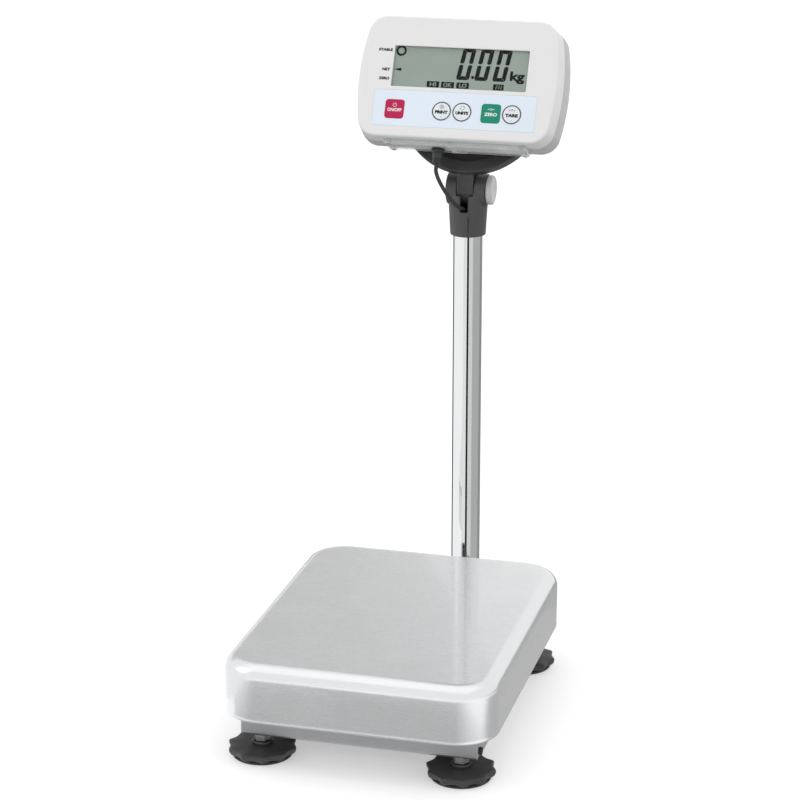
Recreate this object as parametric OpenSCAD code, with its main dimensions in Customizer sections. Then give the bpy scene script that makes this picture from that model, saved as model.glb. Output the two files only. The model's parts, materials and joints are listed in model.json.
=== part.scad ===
// Platform scale for small animals: a stainless pan on four levelling feet, with a column
// behind it that carries a tilting display head.
// Millimetres, +Z up, front towards -Y. The origin is on the floor under the box's centre.

/* [Weighing pan] */
// Width of the pan
pan_w = 330; // [300:5:360]
// Length of the pan, front to back
pan_l = 424; // [400:4:480]
// Plan radius of the pan's corners
pan_corner_r = 50; // [35:1:60]
// Radius between the pan's top and its skirt
pan_edge_r = 17; // [10:1:20]
// Height of the pan's top above the floor
pan_top_z = 127.5; // [124:0.5:132]
// Depth of the pan, top to the skirt's hem
pan_depth = 70; // [50:1:72]
// Thickness of the pan's sheet
pan_sheet = 1.5; // [1:0.1:2]

/* [Base frame] */
// Outside width of the channel frame
frame_w = 286.5; // [270:0.5:295]
// Outside length of the channel frame
frame_l = 362; // [350:1:380]
// Height of the frame's underside above the floor
frame_z = 27; // [27:1:30]
// Height of the channels
channel_h = 34; // [30:1:36]
// Width of the channels' flanges
flange_w = 30; // [24:1:32]
// Thickness of the channels' steel
channel_t = 3; // [2.5:0.5:4]

/* [Levelling feet] */
// Sideways distance of a foot from the middle
foot_x = 121; // [118:1:123]
// Lengthways distance of a foot from the pan's middle
foot_y = 168; // [160:1:169]
// Largest radius of the lobed foot wheel
wheel_r = 41.8; // [34:0.2:42]
// Number of lobes round a foot wheel
lobe_count = 10; // [8:1:12]
// Depth of the hollows between the lobes
lobe_depth = 3; // [1:0.5:4]
// Radius of the foot's stud
stud_r = 5; // [4:0.5:5]

/* [Column] */
// Distance from the pan's middle back to the column's axis
column_gap = 356; // [340:1:370]
// Radius of the column tube
column_r = 19.05; // [17:0.05:20]
// Wall of the column tube
column_wall = 1.5; // [1.2:0.1:2]
// Height of the tilt pivot above the floor
pivot_z = 576; // [540:1:600]
// Radius of the yoke's ears
ear_r = 20.7; // [19:0.1:22]
// Half of the width over the yoke's ears
ear_x = 26; // [24:0.5:28]
// Half of the width of the centre knuckle
knuckle_x = 11; // [9:0.5:12]
// Radius of the clamp knob
knob_r = 19.3; // [16:0.1:20]

/* [Display head] */
// Backward tilt of the display face
head_tilt = 27; // [20:1:35]
// Distance of the display face in front of the pivot
head_reach = 119; // [115:1:125]
// Height of the window's centre above the pivot, along the face
head_rise = 125; // [122:1:130]
// Half of the casing's width at the back, where it is widest
case_half_w = 134.5; // [128:0.5:136]
// How much the sides draw in from the back to the face
case_draft = 6; // [2:0.5:8]
// Radius of the casing's bulging sides
case_side_r = 300; // [250:10:600]
// Top of the casing above the window's centre
case_top_t = 66; // [60:1:70]
// Bottom of the casing below the window's centre
case_low_t = 92; // [90:1:94]
// Corner radius of the casing
case_corner_r = 24; // [16:1:26]
// Depth of the casing
case_depth = 57; // [55:1:60]
// Width of the display window
window_w = 174.5; // [160:0.5:180]
// Height of the display window
window_h = 53.5; // [46:0.5:54]

/* [Hidden] */

$fn = 48;
hull_fn = 32;
eps = 0.01;
bolt_clear = 0.2;
run_clear = 0.06;
part_gap = 0.3;

// Lengthways layout: the box round the object reaches as far forward as back.
bracket_tail = 36;
pan_y = -(column_gap + bracket_tail - pan_l / 2) / 2;
column_y = pan_y + column_gap;
rear_y = column_y + bracket_tail;
frame_front_y = pan_y - frame_l / 2;
frame_rear_y = pan_y + frame_l / 2;
frame_top_z = frame_z + channel_h;

// Weighing cell stack, from the cross channel up to the pan
cell_w = 40;
cell_l = 150;
cell_h = 38;
cell_z = frame_z + 33;
cell_hole_pitch = 24;
cell_hole_y = 54;
cross_l = 70;
cross_top_z = frame_z + 21;
carrier_z = cell_z + cell_h + 10;
carrier_t = 4;
carrier_w = 292;
carrier_l = 386;
cushion_x = 125;
cushion_y = 170;
cushion_r = 13;
stop_x = 128;
stop_y = 115;
stop_travel = 0.6;
m8_r = 4;
hex_8_r = 7.5;
nut_8_h = 6.5;
head_8_h = 5;
side_plug_y = 171;

// Foot heights
pad_h = 3;
pad_r = 36;
wheel_top_z = 14;
collar_top_z = 18.4;
lock_nut_z = 18.9;
hex_10_r = 9.8;
foot_places = [
    [-foot_x, pan_y - foot_y],
    [foot_x, pan_y - foot_y],
    [-foot_x, pan_y + foot_y],
    [foot_x, pan_y + foot_y],
];

// Column and yoke heights
bracket_half_w = 40;
bracket_h = 23;
bracket_top_z = frame_z + bracket_h;
bracket_bolt_x = 50;
bracket_lug_t = 4;
column_plate_t = 6;
column_plate_half = 28;
column_ring_r = 27;
column_foot_z = frame_z + column_plate_t;
vial_back = 82;
vial_r = 10;
collar_low_z = 516;
collar_low_r = 23.2;
collar_top_r = 25.4;
column_top_z = 546;
cable_hole_z = 39;
knob_t = 8;
knob_bolt_x = 31;
pivot_r = 4;
set_screw_z = [collar_low_z + 8, collar_low_z + 22];
cable_slot_z = collar_low_z + 33.5;
knuckle_front_z = pivot_z - 5;
clamp_slit_w = 1.4;
clamp_slit_angle = 14;

// Display head, in the face's own frame: x right, y back into the casing, z up the face
split_d = 26;
gasket_t = 1.5;
case_wall = 3;
case_wide_t = -15;
case_centre_x = -2.2;
case_draft_d = 45;
face_edge_d = 2.8;
face_round = face_edge_d * 0.3;
back_edge_d = 5;
back_round_d = 2;
back_round_in = 1.2;
inner_ease = 2;
inner_flat_d = 7;
hull_layer = 0.1;
front_post_r = 5;
rear_post_r = 5.5;
post_bore_r = 2.2;
post_head_r = 4.2;
socket_r = 6.1;
socket_hole_r = 6.2;
tray_w = 184;
tray_front_d = 12;
tray_l = 38;
tray_t = 2;
tray_lip_h = 4.6;
board_w = 192;
board_h = 112;
board_low_t = -82;
board_t = 1.6;
battery_w = 94;
battery_front_d = 34;
battery_l = 46.5;
battery_h = 70;
bay_mouth_d = 40;
window_x = -0.5;
window_t = 0.2;
panel_left = -107.5;
panel_right = 103;
panel_top = -31.5;
panel_low = -78.5;
panel_t = 0.5;
key_row_t = -56.5;
key_r = 12.3;
key_places = [-79, -17.8, 8.6, 45.7, 72.5];
key_proud = 0.4;
key_flange_d = 3.3;
bay_half_w = 53;
bay_top_t = 2;
bay_low_t = -78;
bay_back_d = 91;
saddle_t = 7;
saddle_r = 98;
saddle_centre_t = -15;
saddle_rim_w = 16;
saddle_rim_d = 82;
saddle_screw_places = [[-30, -62], [30, -62], [-30, -26], [30, -26]];
screw_posts = [[-98, 44], [98, 44], [-104, -70], [104, -70]];
cover_screw_places = [[-86, 17], [86, 17], [-86, 45], [86, 45]];
plug_x = -27;
plug_d = 43;
plug_body_t = -108;
plug_end_t = -113.5;
board_d = 12;
switch_d = 8.2;

// Sensor cable: inside the base, up the column and out of the yoke's front slot.
cable_r = 2.5;
cable_sides = 10;
base_route = [
    [0, -15, 84], [0, -3, 84], [0, 14, 78], [0, 32, 66], [0, 50, 51], [0, 68, 41.5],
    [0, 84, 39], [0, 100, 39], [0, 150, 39], [0, 190, 39], [0, 232, 39], [0, 248, 40],
    [0, 259, 45], [0, 265, 56], [0, 266, 76], [0, 266, 130], [0, 266, 230], [0, 266, 330],
    [0, 266, 430], [0, 266, 500], [0, 265, 524], [0, 262, 538], [0, 257, 547.5], [0, 249, 552.7],
    [-1.5, 241, 555.2],
];
lead_start_y = 240.4;
lead_route = [
    [0, 249, 552.7], [-1.5, lead_start_y, 555.4], [-4.5, 233, 558.6], [-8.5, 225, 564.6],
    [-13.6, 214, 576.3], [-18.7, 205, 588.9], [-23.8, 199.5, 602.2], [-26.6, 199, 611.5],
    [-27, 200.6, 615.2], [-27, 203.3, 620.7],
];

// ---- shared shapes ----

// Points of an arc, for outlines that are drawn as one polygon
function arc_points(centre, r, from, to, n = 10) =
    [for (i = [0:n]) let (a = from + (to - from) * i / n) centre + r * [cos(a), sin(a)]];

// How far each side is drawn in at depth d behind the face
function draft_at(d) = case_draft * max(0, 1 - d / case_draft_d);

// Casing outline: flat top and bottom, bulging sides, and corners that run into both
function case_outline(inset, draft) =
    let (
        r = case_corner_r - inset,
        side_r = case_side_r - inset,
        cx = case_half_w - draft - case_side_r,
        rise = case_top_t - case_corner_r - case_wide_t,
        drop = case_low_t - case_corner_r + case_wide_t,
        reach = case_side_r - case_corner_r,
        up = asin(rise / reach),
        down = asin(drop / reach),
        tx = cx + reach * cos(up),
        lx = cx + reach * cos(down),
        ty = case_wide_t + rise,
        ly = case_wide_t - drop
    )
    concat(
        arc_points([lx, ly], r, -90, -down),
        arc_points([cx, case_wide_t], side_r, -down, up, 6),
        arc_points([tx, ty], r, up, 90),
        arc_points([-tx, ty], r, 90, 180 - up),
        arc_points([-cx, case_wide_t], side_r, 180 - up, 180 + down, 6),
        arc_points([-lx, ly], r, 180 + down, 270)
    );

// One layer of the casing, from depth d0 to d1 behind the face
module case_layer(d0, d1, inset) {
    translate([case_centre_x, d1, 0])
        rotate([90, 0, 0])
            linear_extrude(d1 - d0)
                polygon(case_outline(inset, draft_at((d0 + d1) / 2)));
}

module rounded_square(size, r) {
    w = size[0];
    l = size[1];
    square([w - 2 * r, l], center = true);
    square([w, l - 2 * r], center = true);
    for (x = [-1, 1], y = [-1, 1])
        translate([x * (w / 2 - r), y * (l / 2 - r)])
            circle(r);
}

// A round bar or bore along X, centred where it is put
module bar_x(r, length, fn = 48) {
    rotate([0, 90, 0])
        cylinder(r = r, h = length, center = true, $fn = fn);
}

// A round bar or bore along Y, from y = 0 back
module bar_y(r, length, fn = 48) {
    rotate([-90, 0, 0])
        cylinder(r = r, h = length, $fn = fn);
}

module hex(r, h) {
    cylinder(r = r, h = h, $fn = 6);
}

module nut_8(bore_r) {
    difference() {
        hex(hex_8_r, nut_8_h);
        translate([0, 0, -1])
            cylinder(r = bore_r, h = nut_8_h + 2);
    }
}

// Steel channel along X: web at y = 0, flanges towards +Y
module channel_x(web_length, flange_length) {
    translate([-web_length / 2, 0, 0])
        cube([web_length, channel_t, channel_h]);
    for (z = [0, channel_h - channel_t])
        translate([-flange_length / 2, 0, z])
            cube([flange_length, flange_w, channel_t]);
}

// Puts its children in the display face's frame
module on_head() {
    translate([0, column_y, pivot_z])
        rotate([-head_tilt, 0, 0])
            translate([0, -head_reach, head_rise])
                children();
}

// ---- cable sweep ----

function unit(v) = v / norm(v);
function spline(p, u) =
    let (
        n = len(p) - 1,
        i = min(floor(u), n - 1),
        f = u - i,
        a = p[max(i - 1, 0)],
        b = p[i],
        c = p[i + 1],
        d = p[min(i + 2, n)]
    )
    0.5 * (2 * b + (c - a) * f + (2 * a - 5 * b + 4 * c - d) * f * f
        + (3 * b - a - 3 * c + d) * f * f * f);
function path_points(p, steps) = [for (i = [0:(len(p) - 1) * steps]) spline(p, i / steps)];
function tangent(q, i) = unit(q[min(i + 1, len(q) - 1)] - q[max(i - 1, 0)]);

// A tube through the points q, whose rings all start from the sideways direction
module tube(q, r, sides) {
    n = len(q);
    points = [
        for (i = [0:n - 1])
            let (t = tangent(q, i), s = unit([1, 0, 0] - t[0] * t), u = cross(t, s))
            for (k = [0:sides - 1])
                q[i] + r * (cos(360 * k / sides) * s + sin(360 * k / sides) * u)
    ];
    side_faces = [
        for (i = [0:n - 2], k = [0:sides - 1])
            let (a = i * sides, b = a + sides, m = (k + 1) % sides)
            [a + k, b + k, b + m, a + m]
    ];
    first = [for (k = [0:sides - 1]) k];
    last = [for (k = [sides - 1:-1:0]) (n - 1) * sides + k];
    polyhedron(points = points, faces = concat(side_faces, [first], [last]), convexity = 8);
}

// ---- base frame ----

module end_channel() {
    channel_x(frame_w, frame_w - 2 * flange_w);
}

module front_channel() {
    color("lightgray")
        translate([0, frame_front_y, frame_z])
            end_channel();
}

module rear_channel() {
    color("lightgray")
        translate([0, frame_rear_y, frame_z])
            rotate([0, 0, 180])
                difference() {
                    end_channel();
                    translate([0, -1, cable_hole_z - frame_z])
                        bar_y(5, channel_t + 2);
                    for (x = [-1, 1])
                        translate([x * bracket_bolt_x, -1, bracket_h / 2])
                            bar_y(m8_r + bolt_clear, channel_t + 2);
                }
}

// Side channel between the two end webs, with the holes for its feet and overload stops
module side_channel(side) {
    length = frame_l - 2 * channel_t;
    color("lightgray")
        translate([side * frame_w / 2, pan_y, frame_z])
            rotate([0, 0, side * 90])
                difference() {
                    channel_x(length, length);
                    for (x = [-stop_y, stop_y])
                        translate([x, frame_w / 2 - stop_x, channel_h - channel_t - 1])
                            cylinder(r = m8_r, h = channel_t + 2);
                    for (x = [-foot_y, foot_y])
                        translate([x, frame_w / 2 - foot_x, -1])
                            cylinder(r = stud_r + 0.5, h = channel_t + 2);
                }
}

module left_channel() {
    side_channel(-1);
}

module right_channel() {
    side_channel(1);
}

// Hat section across the frame, on the side channels' lower flanges
module cross_channel() {
    length = frame_w - 2 * channel_t - 1;
    height = cross_top_z - frame_z - channel_t;
    color("lightgray")
        translate([0, pan_y + cell_hole_y, frame_z + channel_t])
            difference() {
                translate([-length / 2, -cross_l / 2, 0])
                    cube([length, cross_l, height]);
                translate([-length / 2 - 1, channel_t - cross_l / 2, -1])
                    cube([length + 2, cross_l - 2 * channel_t, height + 1 - channel_t]);
                for (y = [-1, 1])
                    translate([0, y * cell_hole_pitch / 2, 0])
                        cylinder(r = m8_r + bolt_clear, h = height + 1);
            }
}

// Weld nuts inside the frame and lock nuts under it
module foot_nuts() {
    color("silver")
        for (p = foot_places)
            translate([p[0], p[1], 0])
                for (span = [[lock_nut_z, frame_z], [frame_z + channel_t, frame_z + channel_t + 9]])
                    translate([0, 0, span[0]])
                        difference() {
                            hex(hex_10_r, span[1] - span[0]);
                            translate([0, 0, -1])
                                cylinder(r = stud_r + run_clear, h = span[1] - span[0] + 2);
                        }
}

module overload_stops() {
    top = carrier_z - stop_travel - part_gap;
    color("dimgray")
        for (x = [-stop_x, stop_x], y = [-stop_y, stop_y])
            translate([x, pan_y + y, 0]) {
                translate([0, 0, frame_top_z - 12])
                    cylinder(r = m8_r, h = top - frame_top_z + 12);
                translate([0, 0, frame_top_z])
                    nut_8(m8_r);
            }
}

// ---- weighing cell stack ----

module cell_spacer(y, z0, z1) {
    translate([-cell_w / 2, pan_y + y - 21, z0])
        difference() {
            cube([cell_w, 42, z1 - z0]);
            for (k = [-1, 1])
                translate([cell_w / 2, 21 + k * cell_hole_pitch / 2, -1])
                    cylinder(r = m8_r + bolt_clear, h = z1 - z0 + 2);
        }
}

module lower_spacer() {
    color("gray")
        cell_spacer(cell_hole_y, cross_top_z, cell_z);
}

module upper_spacer() {
    color("gray")
        cell_spacer(-cell_hole_y, cell_z + cell_h, carrier_z);
}

// Single-point cell: a bar thinned by a double bore, bolted at both ends
module load_cell() {
    color("silver")
        difference() {
            translate([-cell_w / 2, pan_y - cell_l / 2, cell_z])
                cube([cell_w, cell_l, cell_h]);
            for (y = [-13, 13])
                translate([0, pan_y + y, cell_z + cell_h / 2])
                    bar_x(14, cell_w + 2);
            translate([-cell_w / 2 - 1, pan_y - 13, cell_z + cell_h / 2 - 6])
                cube([cell_w + 2, 26, 12]);
            for (k = [-1, 1]) {
                translate([0, pan_y + cell_hole_y + k * cell_hole_pitch / 2, cell_z - 1])
                    cylinder(r = m8_r, h = 17);
                translate([0, pan_y - cell_hole_y + k * cell_hole_pitch / 2, cell_z + cell_h - 16])
                    cylinder(r = m8_r, h = 17);
            }
        }
}

module lower_cell_bolts() {
    color("dimgray")
        for (k = [-1, 1])
            translate([0, pan_y + cell_hole_y + k * cell_hole_pitch / 2, 0]) {
                translate([0, 0, cross_top_z - channel_t - head_8_h])
                    hex(hex_8_r, head_8_h);
                translate([0, 0, cross_top_z - channel_t - eps])
                    cylinder(r = m8_r, h = cell_z + 14 - cross_top_z + channel_t);
            }
}

module upper_cell_bolts() {
    color("dimgray")
        for (k = [-1, 1])
            translate([0, pan_y - cell_hole_y + k * cell_hole_pitch / 2, 0]) {
                translate([0, 0, carrier_z + carrier_t])
                    hex(hex_8_r, head_8_h);
                translate([0, 0, cell_z + cell_h - 14])
                    cylinder(r = m8_r, h = carrier_z + carrier_t - cell_z - cell_h + 14 + eps);
            }
}

// Flat pan carrier with lightening holes
module pan_carrier() {
    color("gray")
        translate([0, pan_y, carrier_z])
            difference() {
                linear_extrude(carrier_t)
                    rounded_square([carrier_w, carrier_l], 24);
                for (x = [-1, 1], y = [-1, 1]) {
                    translate([x * 70, y * 110, -1])
                        cylinder(r = 30, h = carrier_t + 2);
                    translate([x * cushion_x, y * cushion_y, -1])
                        cylinder(r = 5, h = carrier_t + 2);
                }
                for (k = [-1, 1])
                    translate([0, -cell_hole_y + k * cell_hole_pitch / 2, -1])
                        cylinder(r = m8_r + bolt_clear, h = carrier_t + 2);
            }
}

module pan_cushions() {
    top = pan_top_z - pan_sheet;
    color("black")
        for (x = [-1, 1], y = [-1, 1])
            translate([x * cushion_x, pan_y + y * cushion_y, 0]) {
                translate([0, 0, carrier_z + carrier_t])
                    cylinder(r = cushion_r, h = top - carrier_z - carrier_t);
                translate([0, 0, carrier_z])
                    cylinder(r = 5, h = carrier_t + eps);
            }
}

// Upright section of the pan from a middle line out to its rolled edge
module pan_section(reach, edge, low_z, top) {
    translate([0, low_z])
        square([reach - edge, top - low_z]);
    translate([0, low_z])
        square([reach, top - edge - low_z]);
    translate([reach - edge, top - edge])
        circle(edge);
}

// Outer or inner body of the pan: sides and ends of one section, and quarter-turn corners
module pan_body(inset, low_z) {
    r = pan_corner_r - inset;
    edge = pan_edge_r - inset;
    top = pan_top_z - inset;
    half_w = pan_w / 2 - pan_corner_r;
    half_l = pan_l / 2 - pan_corner_r;
    translate([0, pan_y, 0])
        for (a = [0, 180]) {
            rotate([0, 0, a])
                translate([0, half_l, 0])
                    rotate([90, 0, 0])
                        linear_extrude(2 * half_l)
                            pan_section(half_w + r, edge, low_z, top);
            rotate([0, 0, a + 90])
                translate([half_l, half_w, 0])
                    rotate([90, 0, 0])
                        linear_extrude(2 * half_w)
                            pan_section(r, edge, low_z, top);
            rotate([0, 0, a])
                translate([half_w, half_l, 0])
                    rotate_extrude(angle = 90)
                        pan_section(r, edge, low_z, top);
            rotate([0, 0, a])
                translate([-half_w, half_l, 0])
                    rotate([0, 0, 90])
                        rotate_extrude(angle = 90)
                            pan_section(r, edge, low_z, top);
        }
}

module weighing_pan() {
    color("lightgray")
        difference() {
            pan_body(0, pan_top_z - pan_depth);
            pan_body(pan_sheet, pan_top_z - pan_depth - 2);
        }
}

// ---- levelling feet ----

module foot_pad(p) {
    color("black")
        translate([p[0], p[1], 0])
            cylinder(r = pad_r, h = pad_h - eps, $fn = 64);
}

function lobe_radius(a) = wheel_r - lobe_depth / 2 * (1 - cos(lobe_count * a));

module foot_wheel(p) {
    color("black")
        translate([p[0], p[1], pad_h])
            difference() {
                linear_extrude(wheel_top_z - pad_h)
                    polygon([for (a = [0:4:356]) lobe_radius(a) * [cos(a), sin(a)]]);
                translate([0, 0, 2])
                    cylinder(r = stud_r, h = wheel_top_z);
            }
}

module foot_stud(p) {
    color("silver")
        translate([p[0], p[1], 0]) {
            translate([0, 0, pad_h + 2])
                cylinder(r = stud_r, h = 51);
            translate([0, 0, wheel_top_z])
                cylinder(r = 12, h = collar_top_z - wheel_top_z);
        }
}

module foot_pad_1() { foot_pad(foot_places[0]); }
module foot_pad_2() { foot_pad(foot_places[1]); }
module foot_pad_3() { foot_pad(foot_places[2]); }
module foot_pad_4() { foot_pad(foot_places[3]); }
module foot_wheel_1() { foot_wheel(foot_places[0]); }
module foot_wheel_2() { foot_wheel(foot_places[1]); }
module foot_wheel_3() { foot_wheel(foot_places[2]); }
module foot_wheel_4() { foot_wheel(foot_places[3]); }
module foot_stud_1() { foot_stud(foot_places[0]); }
module foot_stud_2() { foot_stud(foot_places[1]); }
module foot_stud_3() { foot_stud(foot_places[2]); }
module foot_stud_4() { foot_stud(foot_places[3]); }

// ---- column ----

// Inverted channel from the rear of the frame to the column, closed behind it
module pole_bracket() {
    length = rear_y - frame_rear_y;
    inside_w = 2 * (bracket_half_w - channel_t);
    color("lightgray")
        difference() {
            union() {
                translate([-bracket_half_w, frame_rear_y, frame_z])
                    cube([2 * bracket_half_w, length, bracket_h]);
                translate([-bracket_bolt_x - 12, frame_rear_y, frame_z])
                    cube([2 * bracket_bolt_x + 24, bracket_lug_t, bracket_h]);
                translate([0, column_y, bracket_top_z - eps])
                    cylinder(r = column_ring_r, h = 3);
            }
            translate([-inside_w / 2, frame_rear_y - 1, frame_z - 1])
                cube([inside_w, column_y - column_plate_half - frame_rear_y + 1,
                    bracket_h - channel_t + 1]);
            translate([-inside_w / 2, column_y - column_plate_half - eps, column_foot_z])
                cube([inside_w, 2 * column_plate_half, bracket_h - channel_t - column_plate_t]);
            translate([0, column_y, column_foot_z])
                cylinder(r = column_r, h = channel_h);
            for (x = [-1, 1])
                translate([x * bracket_bolt_x, frame_rear_y - 1, frame_z + bracket_h / 2])
                    bar_y(m8_r + bolt_clear, bracket_lug_t + 2);
        }
}

module bracket_bolts() {
    color("dimgray")
        for (x = [-1, 1])
            translate([x * bracket_bolt_x, frame_rear_y, frame_z + bracket_h / 2]) {
                translate([0, bracket_lug_t, 0])
                    rotate([-90, 0, 0])
                        hex(hex_8_r, head_8_h);
                translate([0, -14, 0])
                    bar_y(m8_r, 14 + bracket_lug_t + eps);
                translate([0, -channel_t - nut_8_h, 0])
                    rotate([-90, 0, 0])
                        nut_8(m8_r);
            }
}

module display_pole() {
    color("silver")
        difference() {
            translate([0, column_y, column_foot_z])
                cylinder(r = column_r, h = column_top_z - column_foot_z, $fn = 64);
            translate([0, column_y, column_foot_z - 1])
                cylinder(r = column_r - column_wall, h = column_top_z, $fn = 64);
            translate([0, column_y - column_r - 2, cable_hole_z])
                bar_y(5, column_r);
        }
}

// Cable grommet in the rear channel and the rubber plug on the right channel
module frame_grommets() {
    color("black") {
        translate([0, frame_rear_y - channel_t, cable_hole_z])
            difference() {
                union() {
                    bar_y(5, channel_t);
                    translate([0, -2, 0])
                        bar_y(7, 2);
                }
                translate([0, -3, 0])
                    bar_y(cable_r + part_gap, channel_t + 4);
            }
        translate([frame_w / 2 + 1.8, pan_y - side_plug_y, frame_z + 9])
            bar_x(4.5, 3.6);
    }
}

module level_vial() {
    color("palegreen")
        translate([0, frame_rear_y + vial_back, bracket_top_z + 1.5])
            cylinder(r = vial_r, h = 7);
}

module vial_holder() {
    color("dimgray")
        translate([0, frame_rear_y + vial_back, bracket_top_z])
            difference() {
                cylinder(r = vial_r + 4, h = 9);
                translate([0, 0, 1.5])
                    cylinder(r = vial_r, h = 9);
            }
}

// Collar on the column with two ears round the pivot and a slot in front for the cable
module pole_yoke() {
    color("dimgray")
        difference() {
            union() {
                translate([0, column_y, collar_low_z])
                    cylinder(r1 = collar_low_r, r2 = collar_top_r, h = 40, $fn = 64);
                translate([0, column_y, collar_low_z + 40 - eps])
                    cylinder(r = collar_top_r, h = pivot_z - collar_low_z - 40, $fn = 64);
                translate([0, column_y, pivot_z])
                    bar_x(ear_r, 2 * ear_x, 64);
            }
            translate([0, column_y, collar_low_z - 1])
                cylinder(r = column_r + run_clear, h = column_top_z - collar_low_z + 1, $fn = 64);
            translate([0, column_y, column_top_z - 1])
                cylinder(r = 16, h = 12);
            translate([0, column_y, pivot_z])
                bar_x(ear_r + 0.6, 2 * (knuckle_x + part_gap), 64);
            translate([-knuckle_x - part_gap, column_y - 30, pivot_z - 1])
                cube([2 * (knuckle_x + part_gap), 60, 40]);
            translate([-knuckle_x - part_gap, column_y - 30, knuckle_front_z])
                cube([2 * (knuckle_x + part_gap), 30, 20]);
            translate([-5, column_y - 30, cable_slot_z])
                cube([10, 20, 30]);
            translate([0, column_y, 0])
                rotate([0, 0, clamp_slit_angle])
                    translate([-clamp_slit_w / 2, -column_r - 10, collar_low_z - 1])
                        cube([clamp_slit_w, 10, cable_slot_z - collar_low_z]);
            translate([0, column_y, pivot_z])
                bar_x(pivot_r + run_clear, 2 * ear_x + 2);
            translate([-ear_x - 1, column_y, pivot_z])
                rotate([0, 90, 0])
                    hex(hex_8_r, 7.5);
            for (z = set_screw_z)
                translate([0, column_y + 10, z])
                    bar_y(2.5, 20);
        }
}

module yoke_set_screws() {
    color("black")
        for (z = set_screw_z)
            translate([0, column_y + column_r, z])
                bar_y(2.5, 5);
}

module pivot_nut() {
    color("silver")
        translate([-ear_x, column_y, pivot_z])
            rotate([0, 90, 0])
                nut_8(pivot_r + run_clear);
}

module pivot_bolt() {
    color("silver")
        translate([(knob_bolt_x - ear_x) / 2, column_y, pivot_z])
            bar_x(pivot_r, knob_bolt_x + ear_x);
}

module clamp_knob() {
    color("gainsboro")
        translate([ear_x + part_gap + knob_t / 2, column_y, pivot_z])
            difference() {
                union() {
                    bar_x(knob_r, knob_t - 3, 64);
                    bar_x(knob_r - 1.5, knob_t, 64);
                }
                translate([knob_bolt_x - ear_x - part_gap - knob_t, 0, 0])
                    bar_x(pivot_r, knob_t);
            }
}

// ---- display head ----

// Saddle plate behind the casing, its raised rim, and the arm down to the knuckle
module head_saddle() {
    color("dimgray")
        on_head()
            difference() {
                union() {
                    intersection() {
                        union() {
                            translate([0, bay_back_d, saddle_centre_t])
                                bar_y(saddle_r, saddle_t, 96);
                            difference() {
                                translate([0, saddle_rim_d, saddle_centre_t])
                                    bar_y(saddle_r, bay_back_d - saddle_rim_d + 1, 96);
                                translate([0, saddle_rim_d - 1, saddle_centre_t])
                                    bar_y(saddle_r - saddle_rim_w, bay_back_d - saddle_rim_d + 1, 96);
                            }
                        }
                        translate([-saddle_r, 0, -150])
                            cube([2 * saddle_r, 150, 150 + saddle_centre_t + 5]);
                    }
                    hull() {
                        translate([0, head_reach, -head_rise])
                            bar_x(ear_r - 0.3, 2 * knuckle_x, hull_fn);
                        translate([-knuckle_x, bay_back_d, -112])
                            cube([2 * knuckle_x, 2, 30]);
                    }
                    translate([0, head_reach, -head_rise])
                        bar_x(ear_r - 0.1, 2 * knuckle_x, 64);
                }
                translate([0, head_reach, -head_rise])
                    bar_x(pivot_r + run_clear, 2 * knuckle_x + 2);
                for (p = saddle_screw_places)
                    translate([p[0], bay_back_d - 1, p[1]])
                        bar_y(2.6, saddle_t + 2);
            }
}

module saddle_screws() {
    color("silver")
        on_head()
            for (p = saddle_screw_places)
                translate([p[0], bay_back_d - case_wall, p[1]]) {
                    bar_y(2.5, case_wall + saddle_t + eps);
                    translate([0, case_wall + saddle_t, 0])
                        bar_y(4.6, 2.6);
                }
}

module casing_posts(d0, d1, r) {
    for (p = screw_posts)
        translate([p[0], d0, p[1]])
            bar_y(r, d1 - d0);
}

// Rear shell with a bay for the battery, which the saddle is screwed to
module rear_cover() {
    front = split_d + gasket_t;
    color("lightgray")
        on_head()
            difference() {
                union() {
                    difference() {
                        hull() {
                            case_layer(front, front + hull_layer, 0);
                            case_layer(case_draft_d, case_depth - back_edge_d, 0);
                            case_layer(case_depth - back_round_d - hull_layer,
                                case_depth - back_round_d, back_round_in);
                            case_layer(case_depth - hull_layer, case_depth, back_edge_d);
                        }
                        hull() {
                            case_layer(front - 1, front, case_wall);
                            case_layer(case_draft_d, case_depth - back_edge_d - inner_ease, case_wall);
                            case_layer(case_depth - case_wall - 1, case_depth - case_wall,
                                case_wall + back_edge_d);
                        }
                    }
                    translate([-bay_half_w, case_depth - case_wall, bay_low_t])
                        cube([2 * bay_half_w, bay_back_d - case_depth + case_wall, bay_top_t - bay_low_t]);
                    casing_posts(front + 1, case_depth - 1, rear_post_r);
                }
                translate([-bay_half_w + case_wall, bay_mouth_d, bay_low_t + case_wall])
                    cube([2 * (bay_half_w - case_wall), bay_back_d - case_wall - bay_mouth_d,
                        bay_top_t - bay_low_t - 2 * case_wall]);
                casing_posts(front, case_depth + 1, post_bore_r);
                casing_posts(case_depth - back_edge_d, case_depth + 1, post_head_r);
                for (p = saddle_screw_places)
                    translate([p[0], bay_back_d - case_wall - 1, p[1]])
                        bar_y(2.5, case_wall + 2);
                translate([plug_x, plug_d, -case_low_t - 1])
                    cylinder(r = socket_hole_r, h = case_wall + 2);
            }
}

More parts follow.
